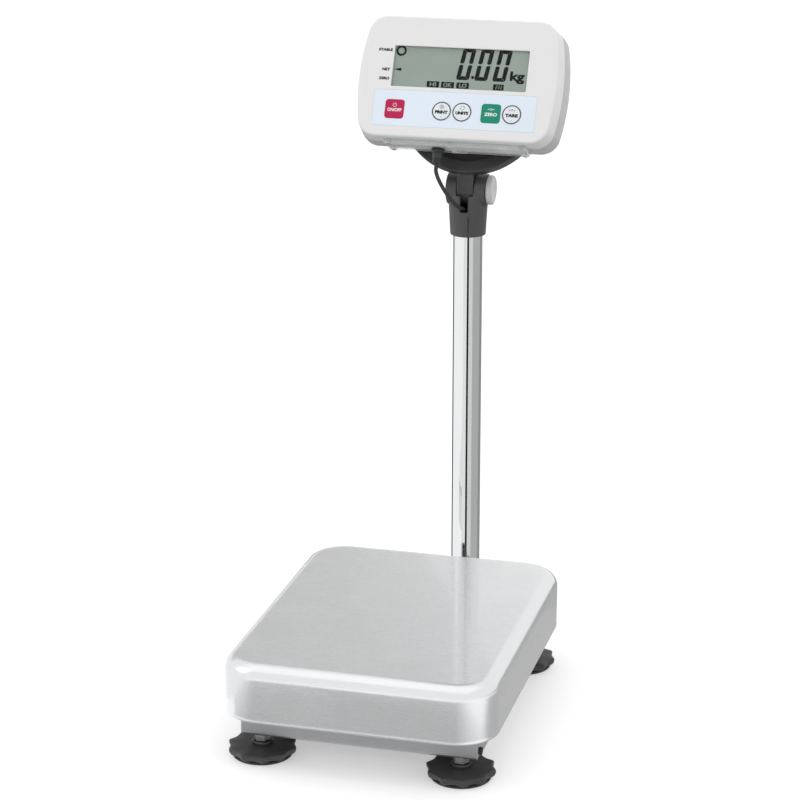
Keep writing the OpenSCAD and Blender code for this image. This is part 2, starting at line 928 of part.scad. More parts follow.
module front_cover() {
    color("whitesmoke")
        on_head()
            difference() {
                union() {
                    difference() {
                        hull() {
                            case_layer(0, hull_layer, face_edge_d);
                            case_layer(face_round, face_round + hull_layer, face_round);
                            case_layer(face_edge_d, face_edge_d + hull_layer, 0);
                            case_layer(split_d - hull_layer, split_d, 0);
                        }
                        hull() {
                            case_layer(case_wall, case_wall + hull_layer, case_wall + inner_ease);
                            case_layer(inner_flat_d, inner_flat_d + hull_layer, case_wall);
                            case_layer(split_d, split_d + 1, case_wall);
                        }
                    }
                    casing_posts(case_wall - 1, split_d - 1, front_post_r);
                }
                casing_posts(14, split_d, 2);
                translate([window_x, 0, window_t])
                    cube([window_w, 20, window_h], center = true);
                translate([panel_left, -1, panel_low])
                    cube([panel_right - panel_left, 1 + panel_t, panel_top - panel_low]);
                for (i = [0:len(key_places) - 1])
                    key_opening(i, -1, case_wall + 2);
            }
}

// Opening round key i with running room
module key_opening(i, d0, d1) {
    translate([key_places[i], d1, key_row_t])
        rotate([90, 0, 0])
            linear_extrude(d1 - d0)
                key_outline(i, part_gap);
}

// The power and zero keys are rounded squares, the others are round
module key_outline(i, grow) {
    if (i == 0 || i == 3)
        rounded_square([2 * key_r + 2 * grow, 2 * key_r + 2 * grow], 4 + grow);
    else
        circle(key_r + grow);
}

module key(i, tone) {
    color(tone)
        on_head()
            translate([key_places[i], 0, key_row_t]) {
                translate([0, key_flange_d, 0])
                    rotate([90, 0, 0])
                        linear_extrude(key_flange_d + key_proud)
                            key_outline(i, 0);
                translate([0, key_flange_d + 1.2, 0])
                    rotate([90, 0, 0])
                        linear_extrude(1.2 + eps)
                            square([2 * key_r + 0.6, 2 * key_r + 3], center = true);
                translate([0, key_flange_d + 1, 0])
                    bar_y(2, 3);
            }
}

module key_power() { key(0, "crimson"); }
module key_print() { key(1, "white"); }
module key_units() { key(2, "white"); }
module key_zero() { key(3, "seagreen"); }
module key_tare() { key(4, "white"); }

module casing_gasket() {
    color("dimgray")
        on_head()
            difference() {
                case_layer(split_d, split_d + gasket_t, 0.8);
                case_layer(split_d - 1, split_d + gasket_t + 1, case_wall);
            }
}

module casing_screws() {
    color("silver")
        on_head() {
            casing_posts(16, case_depth - back_edge_d + eps, 2);
            casing_posts(case_depth - back_edge_d, case_depth - 2, 3.8);
            for (p = cover_screw_places)
                translate([p[0], p[1], -case_low_t - 6.2])
                    cylinder(r = 2.4, h = 1.2);
        }
}

module display_window() {
    color("lightblue", 0.5)
        on_head()
            translate([window_x, 2.1, window_t])
                cube([window_w - 0.4, 1.8, window_h - 0.4], center = true);
}

module lcd_module() {
    color("darkseagreen")
        on_head()
            translate([window_x, 6.2, window_t])
                cube([window_w + 5, 5, window_h + 4], center = true);
}

module main_board() {
    color("darkgreen")
        on_head()
            translate([-board_w / 2, board_d, board_low_t])
                cube([board_w, board_t, board_h]);
}

module tact_switches() {
    color("black")
        on_head()
            for (x = key_places)
                translate([x - 3, switch_d, key_row_t - 3])
                    cube([6, board_d - switch_d, 6]);
}

module keypad_overlay() {
    color("aliceblue")
        on_head()
            difference() {
                translate([panel_left + 0.1, 0, panel_low + 0.1])
                    cube([panel_right - panel_left - 0.2, panel_t, panel_top - panel_low - 0.2]);
                for (i = [0:len(key_places) - 1])
                    key_opening(i, -1, panel_t + 1);
            }
}

module battery_pack() {
    color("darkslategray")
        on_head()
            translate([-battery_w / 2, battery_front_d, bay_low_t + case_wall + 0.5])
                cube([battery_w, battery_l, battery_h]);
}

module cable_socket() {
    color("dimgray")
        on_head()
            translate([plug_x, plug_d, -case_low_t - 3])
                difference() {
                    union() {
                        cylinder(r = 8.8, h = 3);
                        cylinder(r = socket_r, h = 14);
                    }
                    translate([0, 0, 6])
                        cylinder(r = 4.6, h = 10);
                }
}

module cable_plug() {
    color("black")
        on_head()
            translate([plug_x, plug_d, 0]) {
                translate([0, 0, -case_low_t - 6])
                    cylinder(r = 8.7, h = 3);
                translate([0, 0, plug_body_t])
                    cylinder(r = 6.5, h = -plug_body_t - case_low_t - 6 + eps);
                translate([0, 0, plug_end_t])
                    cylinder(r1 = 3.6, r2 = 5.2, h = plug_body_t - plug_end_t + eps);
            }
}

// Clear tray under the casing, held by four screws, with a finger tab in front
module clear_cover() {
    top = -case_low_t - part_gap;
    color("lightcyan", 0.5)
        on_head()
            difference() {
                union() {
                    translate([-tray_w / 2, tray_front_d, top - tray_t])
                        cube([tray_w, tray_l, tray_t]);
                    translate([-tray_w / 2, tray_front_d, top - tray_lip_h])
                        cube([tray_w, tray_t, 3]);
                    for (p = cover_screw_places)
                        translate([p[0], p[1], top - tray_lip_h])
                            cylinder(r = 4.4, h = 3);
                    translate([-9, 10.5, top - 7])
                        cube([7, 2, 7]);
                }
                translate([plug_x, plug_d, top - 3])
                    cylinder(r = 10.5, h = 4);
            }
}

// ---- cables ----

module sensor_cable() {
    color("black")
        tube(path_points(base_route, 2), cable_r, cable_sides);
}

// The free loop from the yoke's slot up to the plug
module display_lead() {
    points = [for (p = path_points(lead_route, 3)) if (p[1] <= lead_start_y + eps) p];
    color("black")
        tube(points, cable_r, cable_sides);
}

front_channel();
rear_channel();
left_channel();
right_channel();
cross_channel();
foot_nuts();
overload_stops();
lower_spacer();
load_cell();
lower_cell_bolts();
pole_bracket();
bracket_bolts();
display_pole();
frame_grommets();
sensor_cable();
level_vial();
vial_holder();
pole_yoke();
yoke_set_screws();
pivot_nut();
upper_spacer();
upper_cell_bolts();
pan_carrier();
pan_cushions();
weighing_pan();
foot_pad_1();
foot_pad_2();
foot_pad_3();
foot_pad_4();
foot_wheel_1();
foot_wheel_2();
foot_wheel_3();
foot_wheel_4();
foot_stud_1();
foot_stud_2();
foot_stud_3();
foot_stud_4();
clamp_knob();
pivot_bolt();
head_saddle();
saddle_screws();
rear_cover();
front_cover();
casing_gasket();
casing_screws();
display_window();
lcd_module();
main_board();
tact_switches();
keypad_overlay();
battery_pack();
cable_socket();
cable_plug();
display_lead();
clear_cover();
key_power();
key_print();
key_units();
key_zero();
key_tare();
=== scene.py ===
"""Looks of the animal weighing scale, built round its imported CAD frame, in metres."""
import json
import math

import bmesh
import bpy
from mathutils import Matrix, Vector


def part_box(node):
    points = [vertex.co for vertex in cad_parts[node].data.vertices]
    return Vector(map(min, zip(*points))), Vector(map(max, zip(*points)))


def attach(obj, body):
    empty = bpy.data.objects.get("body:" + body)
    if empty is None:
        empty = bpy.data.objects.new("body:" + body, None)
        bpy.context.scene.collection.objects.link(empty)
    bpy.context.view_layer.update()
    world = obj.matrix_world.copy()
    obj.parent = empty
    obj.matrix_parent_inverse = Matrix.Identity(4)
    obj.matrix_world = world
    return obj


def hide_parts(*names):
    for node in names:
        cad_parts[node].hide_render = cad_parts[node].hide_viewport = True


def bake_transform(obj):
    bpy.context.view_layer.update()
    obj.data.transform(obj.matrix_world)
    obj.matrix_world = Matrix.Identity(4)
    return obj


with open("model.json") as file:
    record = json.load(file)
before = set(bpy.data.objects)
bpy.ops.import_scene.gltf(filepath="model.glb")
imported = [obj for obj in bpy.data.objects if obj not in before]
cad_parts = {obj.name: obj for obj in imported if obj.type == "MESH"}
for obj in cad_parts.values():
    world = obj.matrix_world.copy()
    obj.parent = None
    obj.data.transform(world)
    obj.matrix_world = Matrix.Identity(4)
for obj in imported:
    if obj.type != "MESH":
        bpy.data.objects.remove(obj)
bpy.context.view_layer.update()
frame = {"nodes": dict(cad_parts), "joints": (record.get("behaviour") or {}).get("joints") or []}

MM = 0.001
NODES = frame["nodes"]
SCENE = bpy.context.scene

# ---- places taken from the frame ----
PAN_LOW, PAN_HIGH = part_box("weighing_pan")
PAN_X = (PAN_LOW.x + PAN_HIGH.x) / 2
PAN_Y = (PAN_LOW.y + PAN_HIGH.y) / 2
POLE_LOW, POLE_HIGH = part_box("display_pole")
POLE_X = (POLE_LOW.x + POLE_HIGH.x) / 2
POLE_Y = (POLE_LOW.y + POLE_HIGH.y) / 2
POLE_R = (POLE_HIGH.x - POLE_LOW.x) / 2
TILT = [j for j in frame["joints"] if j["name"] == "head_tilt"][0]
PIVOT = Vector(TILT["pos_m"])
FACE_TILT = math.radians(-27)
# The display face's own frame: x right, y back into the casing, z up the face
HEAD = (
    Matrix.Translation(PIVOT)
    @ Matrix.Rotation(FACE_TILT, 4, "X")
    @ Matrix.Translation((0, -119 * MM, 125 * MM))
)
# Turns a plan drawn in x and y, stacked along z, into one drawn on the face and stacked in depth
ON_FACE = Matrix(((1, 0, 0, 0), (0, 0, 1, 0), (0, 1, 0, 0), (0, 0, 0, 1)))


# ---- node materials ----
class Paint:
    """A material's node tree, with short ways to add its nodes."""

    def __init__(self, name, color, roughness, metallic=0.0, **sockets):
        self.mat = bpy.data.materials.new(name)
        self.mat.use_nodes = True
        self.tree = self.mat.node_tree
        self.tree.nodes.clear()
        out = self.node("ShaderNodeOutputMaterial")
        self.out = out
        self.bsdf = self.node("ShaderNodeBsdfPrincipled")
        self.tree.links.new(self.bsdf.outputs[0], out.inputs["Surface"])
        self.coords = self.node("ShaderNodeTexCoord").outputs["Object"]
        self.set(self.bsdf, "Base Color", (*color, 1))
        self.set(self.bsdf, "Roughness", roughness)
        self.set(self.bsdf, "Metallic", metallic)
        for socket, value in sockets.items():
            self.set(self.bsdf, socket.replace("_", " "), value)

    def node(self, kind, **settings):
        node = self.tree.nodes.new(kind)
        for key, value in settings.items():
            setattr(node, key, value)
        return node

    def set(self, node, socket, value):
        if isinstance(value, bpy.types.NodeSocket):
            self.tree.links.new(value, node.inputs[socket])
        else:
            node.inputs[socket].default_value = value

    def mapped(self, scale, turn=(0, 0, 0)):
        node = self.node("ShaderNodeMapping")
        self.set(node, "Vector", self.coords)
        node.inputs["Scale"].default_value = scale
        node.inputs["Rotation"].default_value = turn
        return node.outputs[0]

    def noise(self, scale, detail=3.0, stretch=(1, 1, 1), rough=0.5):
        node = self.node("ShaderNodeTexNoise")
        self.set(node, "Vector", self.mapped(stretch))
        self.set(node, "Scale", scale)
        self.set(node, "Detail", detail)
        self.set(node, "Roughness", rough)
        return node.outputs["Fac"]

    def spread(self, value, low, high, from_low=0.3, from_high=0.7):
        node = self.node("ShaderNodeMapRange")
        self.set(node, "Value", value)
        self.set(node, "From Min", from_low)
        self.set(node, "From Max", from_high)
        self.set(node, "To Min", low)
        self.set(node, "To Max", high)
        return node.outputs[0]

    def mix(self, fac, a, b):
        node = self.node("ShaderNodeMix", data_type="RGBA")
        self.set(node, 0, fac)
        for index, color in ((6, a), (7, b)):
            if isinstance(color, bpy.types.NodeSocket):
                self.tree.links.new(color, node.inputs[index])
            else:
                node.inputs[index].default_value = (*color, 1)
        return node.outputs[2]

    def math(self, kind, a, b):
        node = self.node("ShaderNodeMath", operation=kind)
        self.set(node, 0, a)
        self.set(node, 1, b)
        return node.outputs[0]

    def rounded(self, radius):
        """Rounds sharp edges in the shading; gives the normal and a mask of the edges, which
        callers lighten as a painted highlight.
        """
        bevel = self.node("ShaderNodeBevel", samples=6)
        self.set(bevel, "Radius", radius)
        here = self.node("ShaderNodeNewGeometry").outputs["Normal"]
        dot = self.node("ShaderNodeVectorMath", operation="DOT_PRODUCT")
        self.tree.links.new(bevel.outputs[0], dot.inputs[0])
        self.tree.links.new(here, dot.inputs[1])
        return bevel.outputs[0], self.spread(dot.outputs["Value"], 1.0, 0.0, 0.80, 0.99)

    def bump(self, height, strength, distance, normal=None):
        node = self.node("ShaderNodeBump")
        self.set(node, "Height", height)
        self.set(node, "Strength", strength)
        self.set(node, "Distance", distance)
        if normal is not None:
            self.set(node, "Normal", normal)
        return node.outputs[0]

    def finish(self, color=None, rough=None, normal=None):
        for socket, value in (("Base Color", color), ("Roughness", rough), ("Normal", normal)):
            if value is not None:
                self.set(self.bsdf, socket, value)
        return self.mat


def brushed_metal(name, dark, light, rough, stretch, grain=900.0, depth=0.25, edge=None, **sockets):
    """Brushed or rolled metal: streaks, long where stretch is small, cloudy wear, a painted edge
    highlight.
    """
    p = Paint(name, light, rough, 1.0, **sockets)
    streaks = p.noise(grain, 4.0, stretch, 0.6)
    clouds = p.noise(14.0, 4.0)
    normal = None
    color = p.mix(p.spread(streaks, 0.0, 1.0), dark, light)
    color = p.mix(p.spread(clouds, 0.0, 0.35), color, dark)
    if edge:
        # Lightens the rounded edges: a painted highlight.
        normal, edge_highlight = p.rounded(edge)
        color = p.mix(p.math("MULTIPLY", edge_highlight, 0.5), color, (0.9, 0.9, 0.9))
    wear = p.math("ADD", p.spread(streaks, -0.05, 0.06), p.spread(clouds, -0.04, 0.05))
    return p.finish(color, p.math("ADD", wear, rough), p.bump(streaks, depth, 0.00005, normal))


def moulded_plastic(name, color, rough, grain=2600.0, depth=0.12, shade=0.9, edge=None, **sockets):
    """Moulded plastic: fine spark-eroded grain, slight mottling, softly rounded edges, painted
    highlight.
    """
    p = Paint(name, color, rough, **sockets)
    fine = p.noise(grain, 3.0)
    clouds = p.noise(22.0, 3.0)
    normal = None
    tone = p.mix(p.spread(clouds, 0.0, 1.0), color, tuple(c * shade for c in color))
    if edge:
        # Lightens the rounded edges: a painted highlight.
        normal, edge_highlight = p.rounded(edge)
        light = tuple(min(1.0, c * 1.25 + 0.02) for c in color)
        tone = p.mix(p.math("MULTIPLY", edge_highlight, 0.6), tone, light)
    gloss = p.math("ADD", p.spread(fine, -0.05, 0.05), p.spread(clouds, rough - 0.03, rough + 0.04))
    return p.finish(tone, gloss, p.bump(fine, depth, 0.0001, normal))


def clear_plastic(name, color, rough, facing_share, edge_share, tint=(0.97, 0.985, 0.98)):
    """Clear plastic: what is behind shows through, edges and gloss stay visible."""
    p = Paint(name, color, rough)
    facing = p.node("ShaderNodeLayerWeight")
    p.set(facing, "Blend", 0.35)
    haze = p.noise(60.0, 3.0)
    see = p.node("ShaderNodeBsdfTransparent")
    p.set(see, "Color", (*tint, 1))
    glancing = p.spread(facing.outputs["Facing"], facing_share, edge_share, 0.0, 1.0)
    share = p.math("MULTIPLY", glancing, p.spread(haze, 0.92, 1.08))
    mix = p.node("ShaderNodeMixShader")
    p.tree.links.new(share, mix.inputs[0])
    p.tree.links.new(see.outputs[0], mix.inputs[1])
    p.tree.links.new(p.bsdf.outputs[0], mix.inputs[2])
    p.tree.links.new(mix.outputs[0], p.out.inputs["Surface"])
    return p.finish(rough=p.spread(haze, rough, rough + 0.06))


def chrome():
    """Polished tube: fine drawing lines along it and a very slight haze."""
    p = Paint("chrome_tube", (0.86, 0.87, 0.88), 0.05, 1.0)
    lines = p.noise(1500.0, 3.0, (1, 1, 0.01), 0.6)
    haze = p.noise(30.0, 4.0, (1, 1, 0.3))
    color = p.mix(p.spread(lines, 0.0, 0.5), (0.88, 0.885, 0.89), (0.74, 0.75, 0.76))
    rough = p.math("ADD", p.spread(haze, 0.03, 0.075), p.spread(lines, 0.0, 0.02))
    return p.finish(color, rough, p.bump(lines, 0.05, 0.00002))


def printed_film(name, color, rough=0.38):
    """Printed polyester film: fine texture and a faint colour cloud."""
    p = Paint(name, color, rough, Specular_IOR_Level=0.3)
    fine = p.noise(3800.0, 2.0)
    clouds = p.noise(18.0, 2.0)
    tone = p.mix(p.spread(clouds, 0.0, 0.6), color, tuple(c * 0.95 for c in color))
    return p.finish(tone, p.spread(fine, rough - 0.05, rough + 0.06), p.bump(fine, 0.05, 0.00005))


def lcd_glass():
    """Reflective display glass: grey-green with a slow gradient and a fine cell pattern."""
    p = Paint("lcd_glass", (0.42, 0.48, 0.43), 0.3, Specular_IOR_Level=0.25)
    fine = p.noise(5200.0, 2.0)
    slow = p.noise(9.0, 2.0)
    tone = p.mix(p.spread(slow, 0.0, 1.0), (0.50, 0.575, 0.52), (0.47, 0.545, 0.49))
    tone = p.mix(p.spread(fine, 0.0, 0.2), tone, (0.40, 0.46, 0.415))
    return p.finish(tone, p.spread(fine, 0.26, 0.36), p.bump(fine, 0.04, 0.00003))


def ink(name, color, rough=0.45):
    """Printing ink or a darkened display segment, with a slightly uneven film."""
    p = Paint(name, color, rough, Specular_IOR_Level=0.12)
    fine = p.noise(4200.0, 3.0)
    tone = p.mix(p.spread(fine, 0.0, 0.5), color, tuple(min(1.0, c * 1.2 + 0.006) for c in color))
    return p.finish(tone, p.spread(fine, rough - 0.08, rough + 0.08), p.bump(fine, 0.05, 0.00002))


M = {
    "stainless_sheet": brushed_metal("stainless_sheet", (0.73, 0.735, 0.745), (0.82, 0.825, 0.835),
                                     0.25, (0.01, 1, 1), 5200.0, 0.30, Coat_Weight=0.8,
                                     Coat_Roughness=0.045, Coat_IOR=1.45),
    "frame_steel": brushed_metal("frame_steel", (0.44, 0.445, 0.455), (0.54, 0.545, 0.555),
                                 0.42, (0.02, 1, 1), 1600.0, 0.22, 0.0009),
    "zinc_steel": brushed_metal("zinc_steel", (0.42, 0.42, 0.41), (0.62, 0.62, 0.60),
                                0.34, (1, 1, 1), 420.0, 0.2, 0.0005),
    "cell_aluminium": brushed_metal("cell_aluminium", (0.66, 0.67, 0.68), (0.80, 0.81, 0.82),
                                    0.36, (1, 0.03, 1), 800.0, 0.2, 0.0006),
    "chrome_tube": chrome(),
    "foot_plastic": moulded_plastic("foot_plastic", (0.040, 0.040, 0.042), 0.50, 1900.0, 0.3, 0.85),
    "foot_rubber": moulded_plastic("foot_rubber", (0.028, 0.028, 0.028), 0.75, 1500.0, 0.4, 0.8,
                                   0.0006),
    "yoke_plastic": moulded_plastic("yoke_plastic", (0.060, 0.060, 0.062), 0.42, 2100.0, 0.3, 0.9),
    "knob_plastic": moulded_plastic("knob_plastic", (0.60, 0.60, 0.595), 0.34, 1500.0, 0.1, 0.96,
                                    None, Subsurface_Weight=0.1, Subsurface_Scale=0.002),
    "front_plastic": moulded_plastic("front_plastic", (0.80, 0.80, 0.797), 0.42, 2600.0, 0.10,
                                     0.985),
    "rear_plastic": moulded_plastic("rear_plastic", (0.54, 0.54, 0.54), 0.46, 2400.0, 0.16, 0.97),
    "gasket_rubber": moulded_plastic("gasket_pale", (0.50, 0.50, 0.50), 0.6, 1500.0, 0.3),
    "window_plastic": clear_plastic("window_plastic", (0.02, 0.025, 0.025), 0.05, 0.08, 0.16,
                                    (0.985, 0.99, 0.985)),
    "lcd_glass": lcd_glass(),
    "board_green": moulded_plastic("board_green", (0.03, 0.16, 0.06), 0.35, 1800.0, 0.2),
    "switch_black": moulded_plastic("switch_black", (0.028, 0.028, 0.03), 0.42, 2200.0, 0.25, 0.85,
                                    0.0003),
    "overlay_film": printed_film("overlay_film", (0.78, 0.86, 0.95)),
    "key_magenta": printed_film("key_magenta", (0.50, 0.006, 0.075)),
    "key_white": printed_film("key_white", (0.80, 0.84, 0.88)),
    "key_green": printed_film("key_green", (0.002, 0.26, 0.165)),
    "clear_plastic": clear_plastic("clear_plastic", (0.90, 0.91, 0.91), 0.10, 0.14, 0.85),
    "cable_jacket": moulded_plastic("cable_jacket", (0.018, 0.018, 0.019), 0.44, 1700.0, 0.15, 0.8),
}
# A darker copy of the zinc steel for the feet's studs: painted shade, as they sit under the pan.
SHADED_FOOT_STEEL = brushed_metal("foot_steel_shaded", (0.09, 0.09, 0.092), (0.17, 0.17, 0.172), 0.42, (1, 1, 1),
                           420.0, 0.2)
# A darker copy of the yoke plastic for the saddle: painted shade, as it sits under the casing.
SHADED_SADDLE = moulded_plastic("saddle_plastic_shaded", (0.040, 0.040, 0.042), 0.36, 2100.0, 0.3, 0.9)
INK_BLACK = ink("ink_black", (0.008, 0.008, 0.010))
INK_WHITE = ink("ink_white", (0.88, 0.88, 0.88))
INK_PALE = ink("ink_pale", (0.36, 0.42, 0.37))


# ---- mesh helpers ----
def arc(cx, cy, r, start, end, steps):
    """Points of an arc in degrees."""
    angles = [math.radians(start + (end - start) * i / steps) for i in range(steps + 1)]
    return [(cx + r * math.cos(a), cy + r * math.sin(a)) for a in angles]


def rounded_rect(w, h, r, steps=8, cx=0.0, cy=0.0):
    """Outline of a rounded rectangle as a function of how far it is drawn in."""

    def outline(inset):
        x, y = w / 2 - inset, h / 2 - inset
        q = max(r - inset, 0.02 * MM)
        return (
            arc(cx + x - q, cy + y - q, q, 0, 90, steps)
            + arc(cx - x + q, cy + y - q, q, 90, 180, steps)
            + arc(cx - x + q, cy - y + q, q, 180, 270, steps)
            + arc(cx + x - q, cy - y + q, q, 270, 360, steps)
        )

    return outline


def circle(r, steps=48, cx=0.0, cy=0.0):
    """Outline of a circle as a function of how far it is drawn in."""

    def outline(inset):
        return [
            (cx + (r - inset) * math.cos(math.tau * i / steps),
             cy + (r - inset) * math.sin(math.tau * i / steps))
            for i in range(steps)
        ]

    return outline


def in_mm(pairs):
    """Pairs of lengths that are given in millimetres."""
    return [(a * MM, b * MM) for a, b in pairs]


def rect_mm(w, h, r, steps, cx=0.0, cy=0.0):
    """A rounded rectangle whose lengths are given in millimetres."""
    return rounded_rect(w * MM, h * MM, r * MM, steps, cx * MM, cy * MM)


class Shape:
    """Collects faces and turns them into one object."""

    def __init__(self):
        self.bm = bmesh.new()

    def rings(self, rings, cap_start=True, cap_end=True, loop=False, matrix=None):
        made = []
        for ring in rings:
            made.append([self.bm.verts.new(matrix @ Vector(p) if matrix else Vector(p))
                         for p in ring])
        pairs = list(zip(made, made[1:])) + ([(made[-1], made[0])] if loop else [])
        for a, b in pairs:
            for i in range(len(a)):
                j = (i + 1) % len(a)
                self.bm.faces.new((a[i], a[j], b[j], b[i]))
        if cap_start and not loop:
            self.bm.faces.new(tuple(reversed(made[0])))
        if cap_end and not loop:
            self.bm.faces.new(tuple(made[-1]))
        return self

    def stack(self, outline, levels, matrix=None, **caps):
        """Lofts an outline through levels of (inset, height)."""
        return self.rings([[(x, y, z) for x, y in outline(inset)] for inset, z in levels],
                          matrix=matrix, **caps)

    def wall(self, outline, levels):
        """An open wall on the face, through levels of (inset, depth)."""
        return self.stack(outline, levels, ON_FACE, cap_start=False, cap_end=False)

    def prism(self, points, z0, z1):
        """A flat outline drawn straight from z0 to z1."""
        return self.rings([[(x, y, z) for x, y in points] for z in (z0, z1)])

    def slab(self, outline, z0, z1, edge, steps=4, matrix=None):
        """A prism from z0 to z1 whose rims are rounded by edge."""
        turn = [math.pi / 2 * i / steps for i in range(steps + 1)]
        low = [(edge * (1 - math.sin(a)), z0 + edge * (1 - math.cos(a))) for a in turn]
        high = [(edge * (1 - math.sin(a)), z1 - edge * (1 - math.cos(a))) for a in reversed(turn)]
        return self.stack(outline, [(edge * 1.6, z0)] + low + high + [(edge * 1.6, z1)], matrix)

    def lathe(self, profile, steps=64, matrix=None, loop=False):
        """Turns (radius, height) pairs round the z axis."""
        angles = [math.tau * i / steps for i in range(steps)]
        return self.rings([[(r * math.cos(a), r * math.sin(a), z) for a in angles]
                           for r, z in profile], matrix=matrix, loop=loop)

    def fill(self, loops, matrix=None):
        """Fills the plane between an outer loop and the loops of its holes."""
        edges = []
        for loop in loops:
            verts = [self.bm.verts.new(matrix @ Vector(p) if matrix else Vector(p)) for p in loop]
            edges += [self.bm.edges.new((verts[i - 1], verts[i])) for i in range(len(verts))]
        bmesh.ops.triangle_fill(self.bm, use_beauty=True, use_dissolve=False, edges=edges)
        return self

    def object(self, name, body, slot, matrix=None, replaces=(), paint=None, sharp=38,
               merge=0.000002, place=None):
        if matrix:
            bmesh.ops.transform(self.bm, matrix=matrix, verts=self.bm.verts)
        bmesh.ops.remove_doubles(self.bm, verts=self.bm.verts, dist=merge)
        bmesh.ops.recalc_face_normals(self.bm, faces=self.bm.faces)
        mesh = bpy.data.meshes.new(name)
        self.bm.to_mesh(mesh)
        self.bm.free()
        return piece(name, mesh, body, slot, replaces, paint, sharp, place)


def piece(name, mesh, body, slot, replaces=(), paint=None, sharp=38, place=None):
    """Puts a mesh in the scene as a named piece that rides on a body."""
    mesh.name = name
    mesh.materials.clear()
    mesh.materials.append(paint or M[slot])
    mesh.shade_smooth()
    mesh.set_sharp_from_angle(angle=math.radians(sharp))
    obj = bpy.data.objects.new(name, mesh)
    SCENE.collection.objects.link(obj)
    if place is not None:
        mesh.transform(place)
    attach(obj, body)
    if replaces:
        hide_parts(*replaces)
    return obj


def grown(node, name, body, slot, voxel, smooth, keep=1.0, paint=None, sharp=60):
    """A copy of a CAD solid with every edge softly rounded, as a moulding has it."""
    mesh = NODES[node].data.copy()
    obj = bpy.data.objects.new("work_" + name, mesh)
    SCENE.collection.objects.link(obj)
    remesh = obj.modifiers.new("remesh", "REMESH")
    remesh.mode = "VOXEL"
    remesh.voxel_size = voxel
    relax = obj.modifiers.new("relax", "SMOOTH")
    relax.factor = 0.5
    relax.iterations = smooth
    if keep < 1.0:
        thin = obj.modifiers.new("thin", "DECIMATE")
        thin.ratio = keep
    bpy.context.view_layer.update()
    depsgraph = bpy.context.evaluated_depsgraph_get()
    made = bpy.data.meshes.new_from_object(obj.evaluated_get(depsgraph))
    bpy.data.objects.remove(obj)
    return piece(name, made, body, slot, (node,), paint, sharp)


def smooth_path(points, per_span):
    """A Catmull-Rom curve through points."""
    ends = [points[0] * 2 - points[1]] + points + [points[-1] * 2 - points[-2]]
    path = []
    for a, b, c, d in zip(ends, ends[1:], ends[2:], ends[3:]):
        for i in range(per_span):
            t = i / per_span
            path.append(0.5 * (2 * b + (c - a) * t + (2 * a - 5 * b + 4 * c - d) * t * t
                               + (3 * b - a - 3 * c + d) * t ** 3))
    return path + [points[-1]]


def tube_rings(path, radius, sides):
    """Rings along a path that don't twist."""
    side = Vector((1, 0, 0))
    rings = []
    for i, p in enumerate(path):
        along = (path[min(i + 1, len(path) - 1)] - path[max(i - 1, 0)]).normalized()
        side = (side - along * side.dot(along)).normalized()
        up = along.cross(side)
        rings.append([p + side * (radius * math.cos(math.tau * k / sides))
                      + up * (radius * math.sin(math.tau * k / sides)) for k in range(sides)])
    return rings


def text_shape(words, x0, x1, low, high, depth, weight):
    """Letters fitted into a box on a plane, as flat prisms of printing ink."""
    curve = bpy.data.curves.new("letters", "FONT")
    curve.body = words
    curve.size = 1.0
    curve.extrude = 0.5
    curve.offset = weight
    curve.resolution_u = 4
    obj = bpy.data.objects.new("letters", curve)
    SCENE.collection.objects.link(obj)
    bpy.context.view_layer.update()
    mesh = bpy.data.meshes.new_from_object(obj)
    bpy.data.objects.remove(obj)
    bpy.data.curves.remove(curve)
    xs = [v.co.x for v in mesh.vertices]
    ys = [v.co.y for v in mesh.vertices]
    sx = (x1 - x0) / (max(xs) - min(xs))
    sy = (high - low) / (max(ys) - min(ys))
    for v in mesh.vertices:
        v.co = Vector((x0 + (v.co.x - min(xs)) * sx, low + (v.co.y - min(ys)) * sy, v.co.z * depth))
    return mesh


# ---- base: frame, feet, pan ----
def front_channel():
    """Pressed channel with rounded bends, its web towards the front."""
    low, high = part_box("front_channel")
    sheet, bend = 3.0 * MM, 4.0 * MM
    side = high.x - 1.2 * MM

    def section(trim):
        """The channel's section in y and z, drawn in by trim."""
        y0, y1, z0, z1 = low.y + trim, high.y - trim, low.z + trim, high.z - trim
        s = sheet - 2 * trim
        q = bend - sheet
        outer_top = arc(y0 + bend, z1 - bend, bend, 180, 90, 6)
        inner_top = arc(y0 + s + q, z1 - s - q, q, 90, 180, 6)
        inner_low = arc(y0 + s + q, z0 + s + q, q, 180, 270, 6)
        outer_low = arc(y0 + bend, z0 + bend, bend, 270, 180, 6)
        return outer_top + [(y1, z1), (y1, z1 - s)] + inner_top + inner_low + [
            (y1, z0 + s), (y1, z0)] + outer_low

    stops = [(-high.x, 0.35 * MM), (-high.x + 0.35 * MM, 0.0), (-side, 0.0), (side, 0.0),
             (high.x - 0.35 * MM, 0.0), (high.x, 0.35 * MM)]
    shape = Shape()
    shape.rings([[(x, y, z) for y, z in section(trim)] for x, trim in stops])
    shape.object("front_channel_pressed", "base", "frame_steel", replaces=("front_channel",))


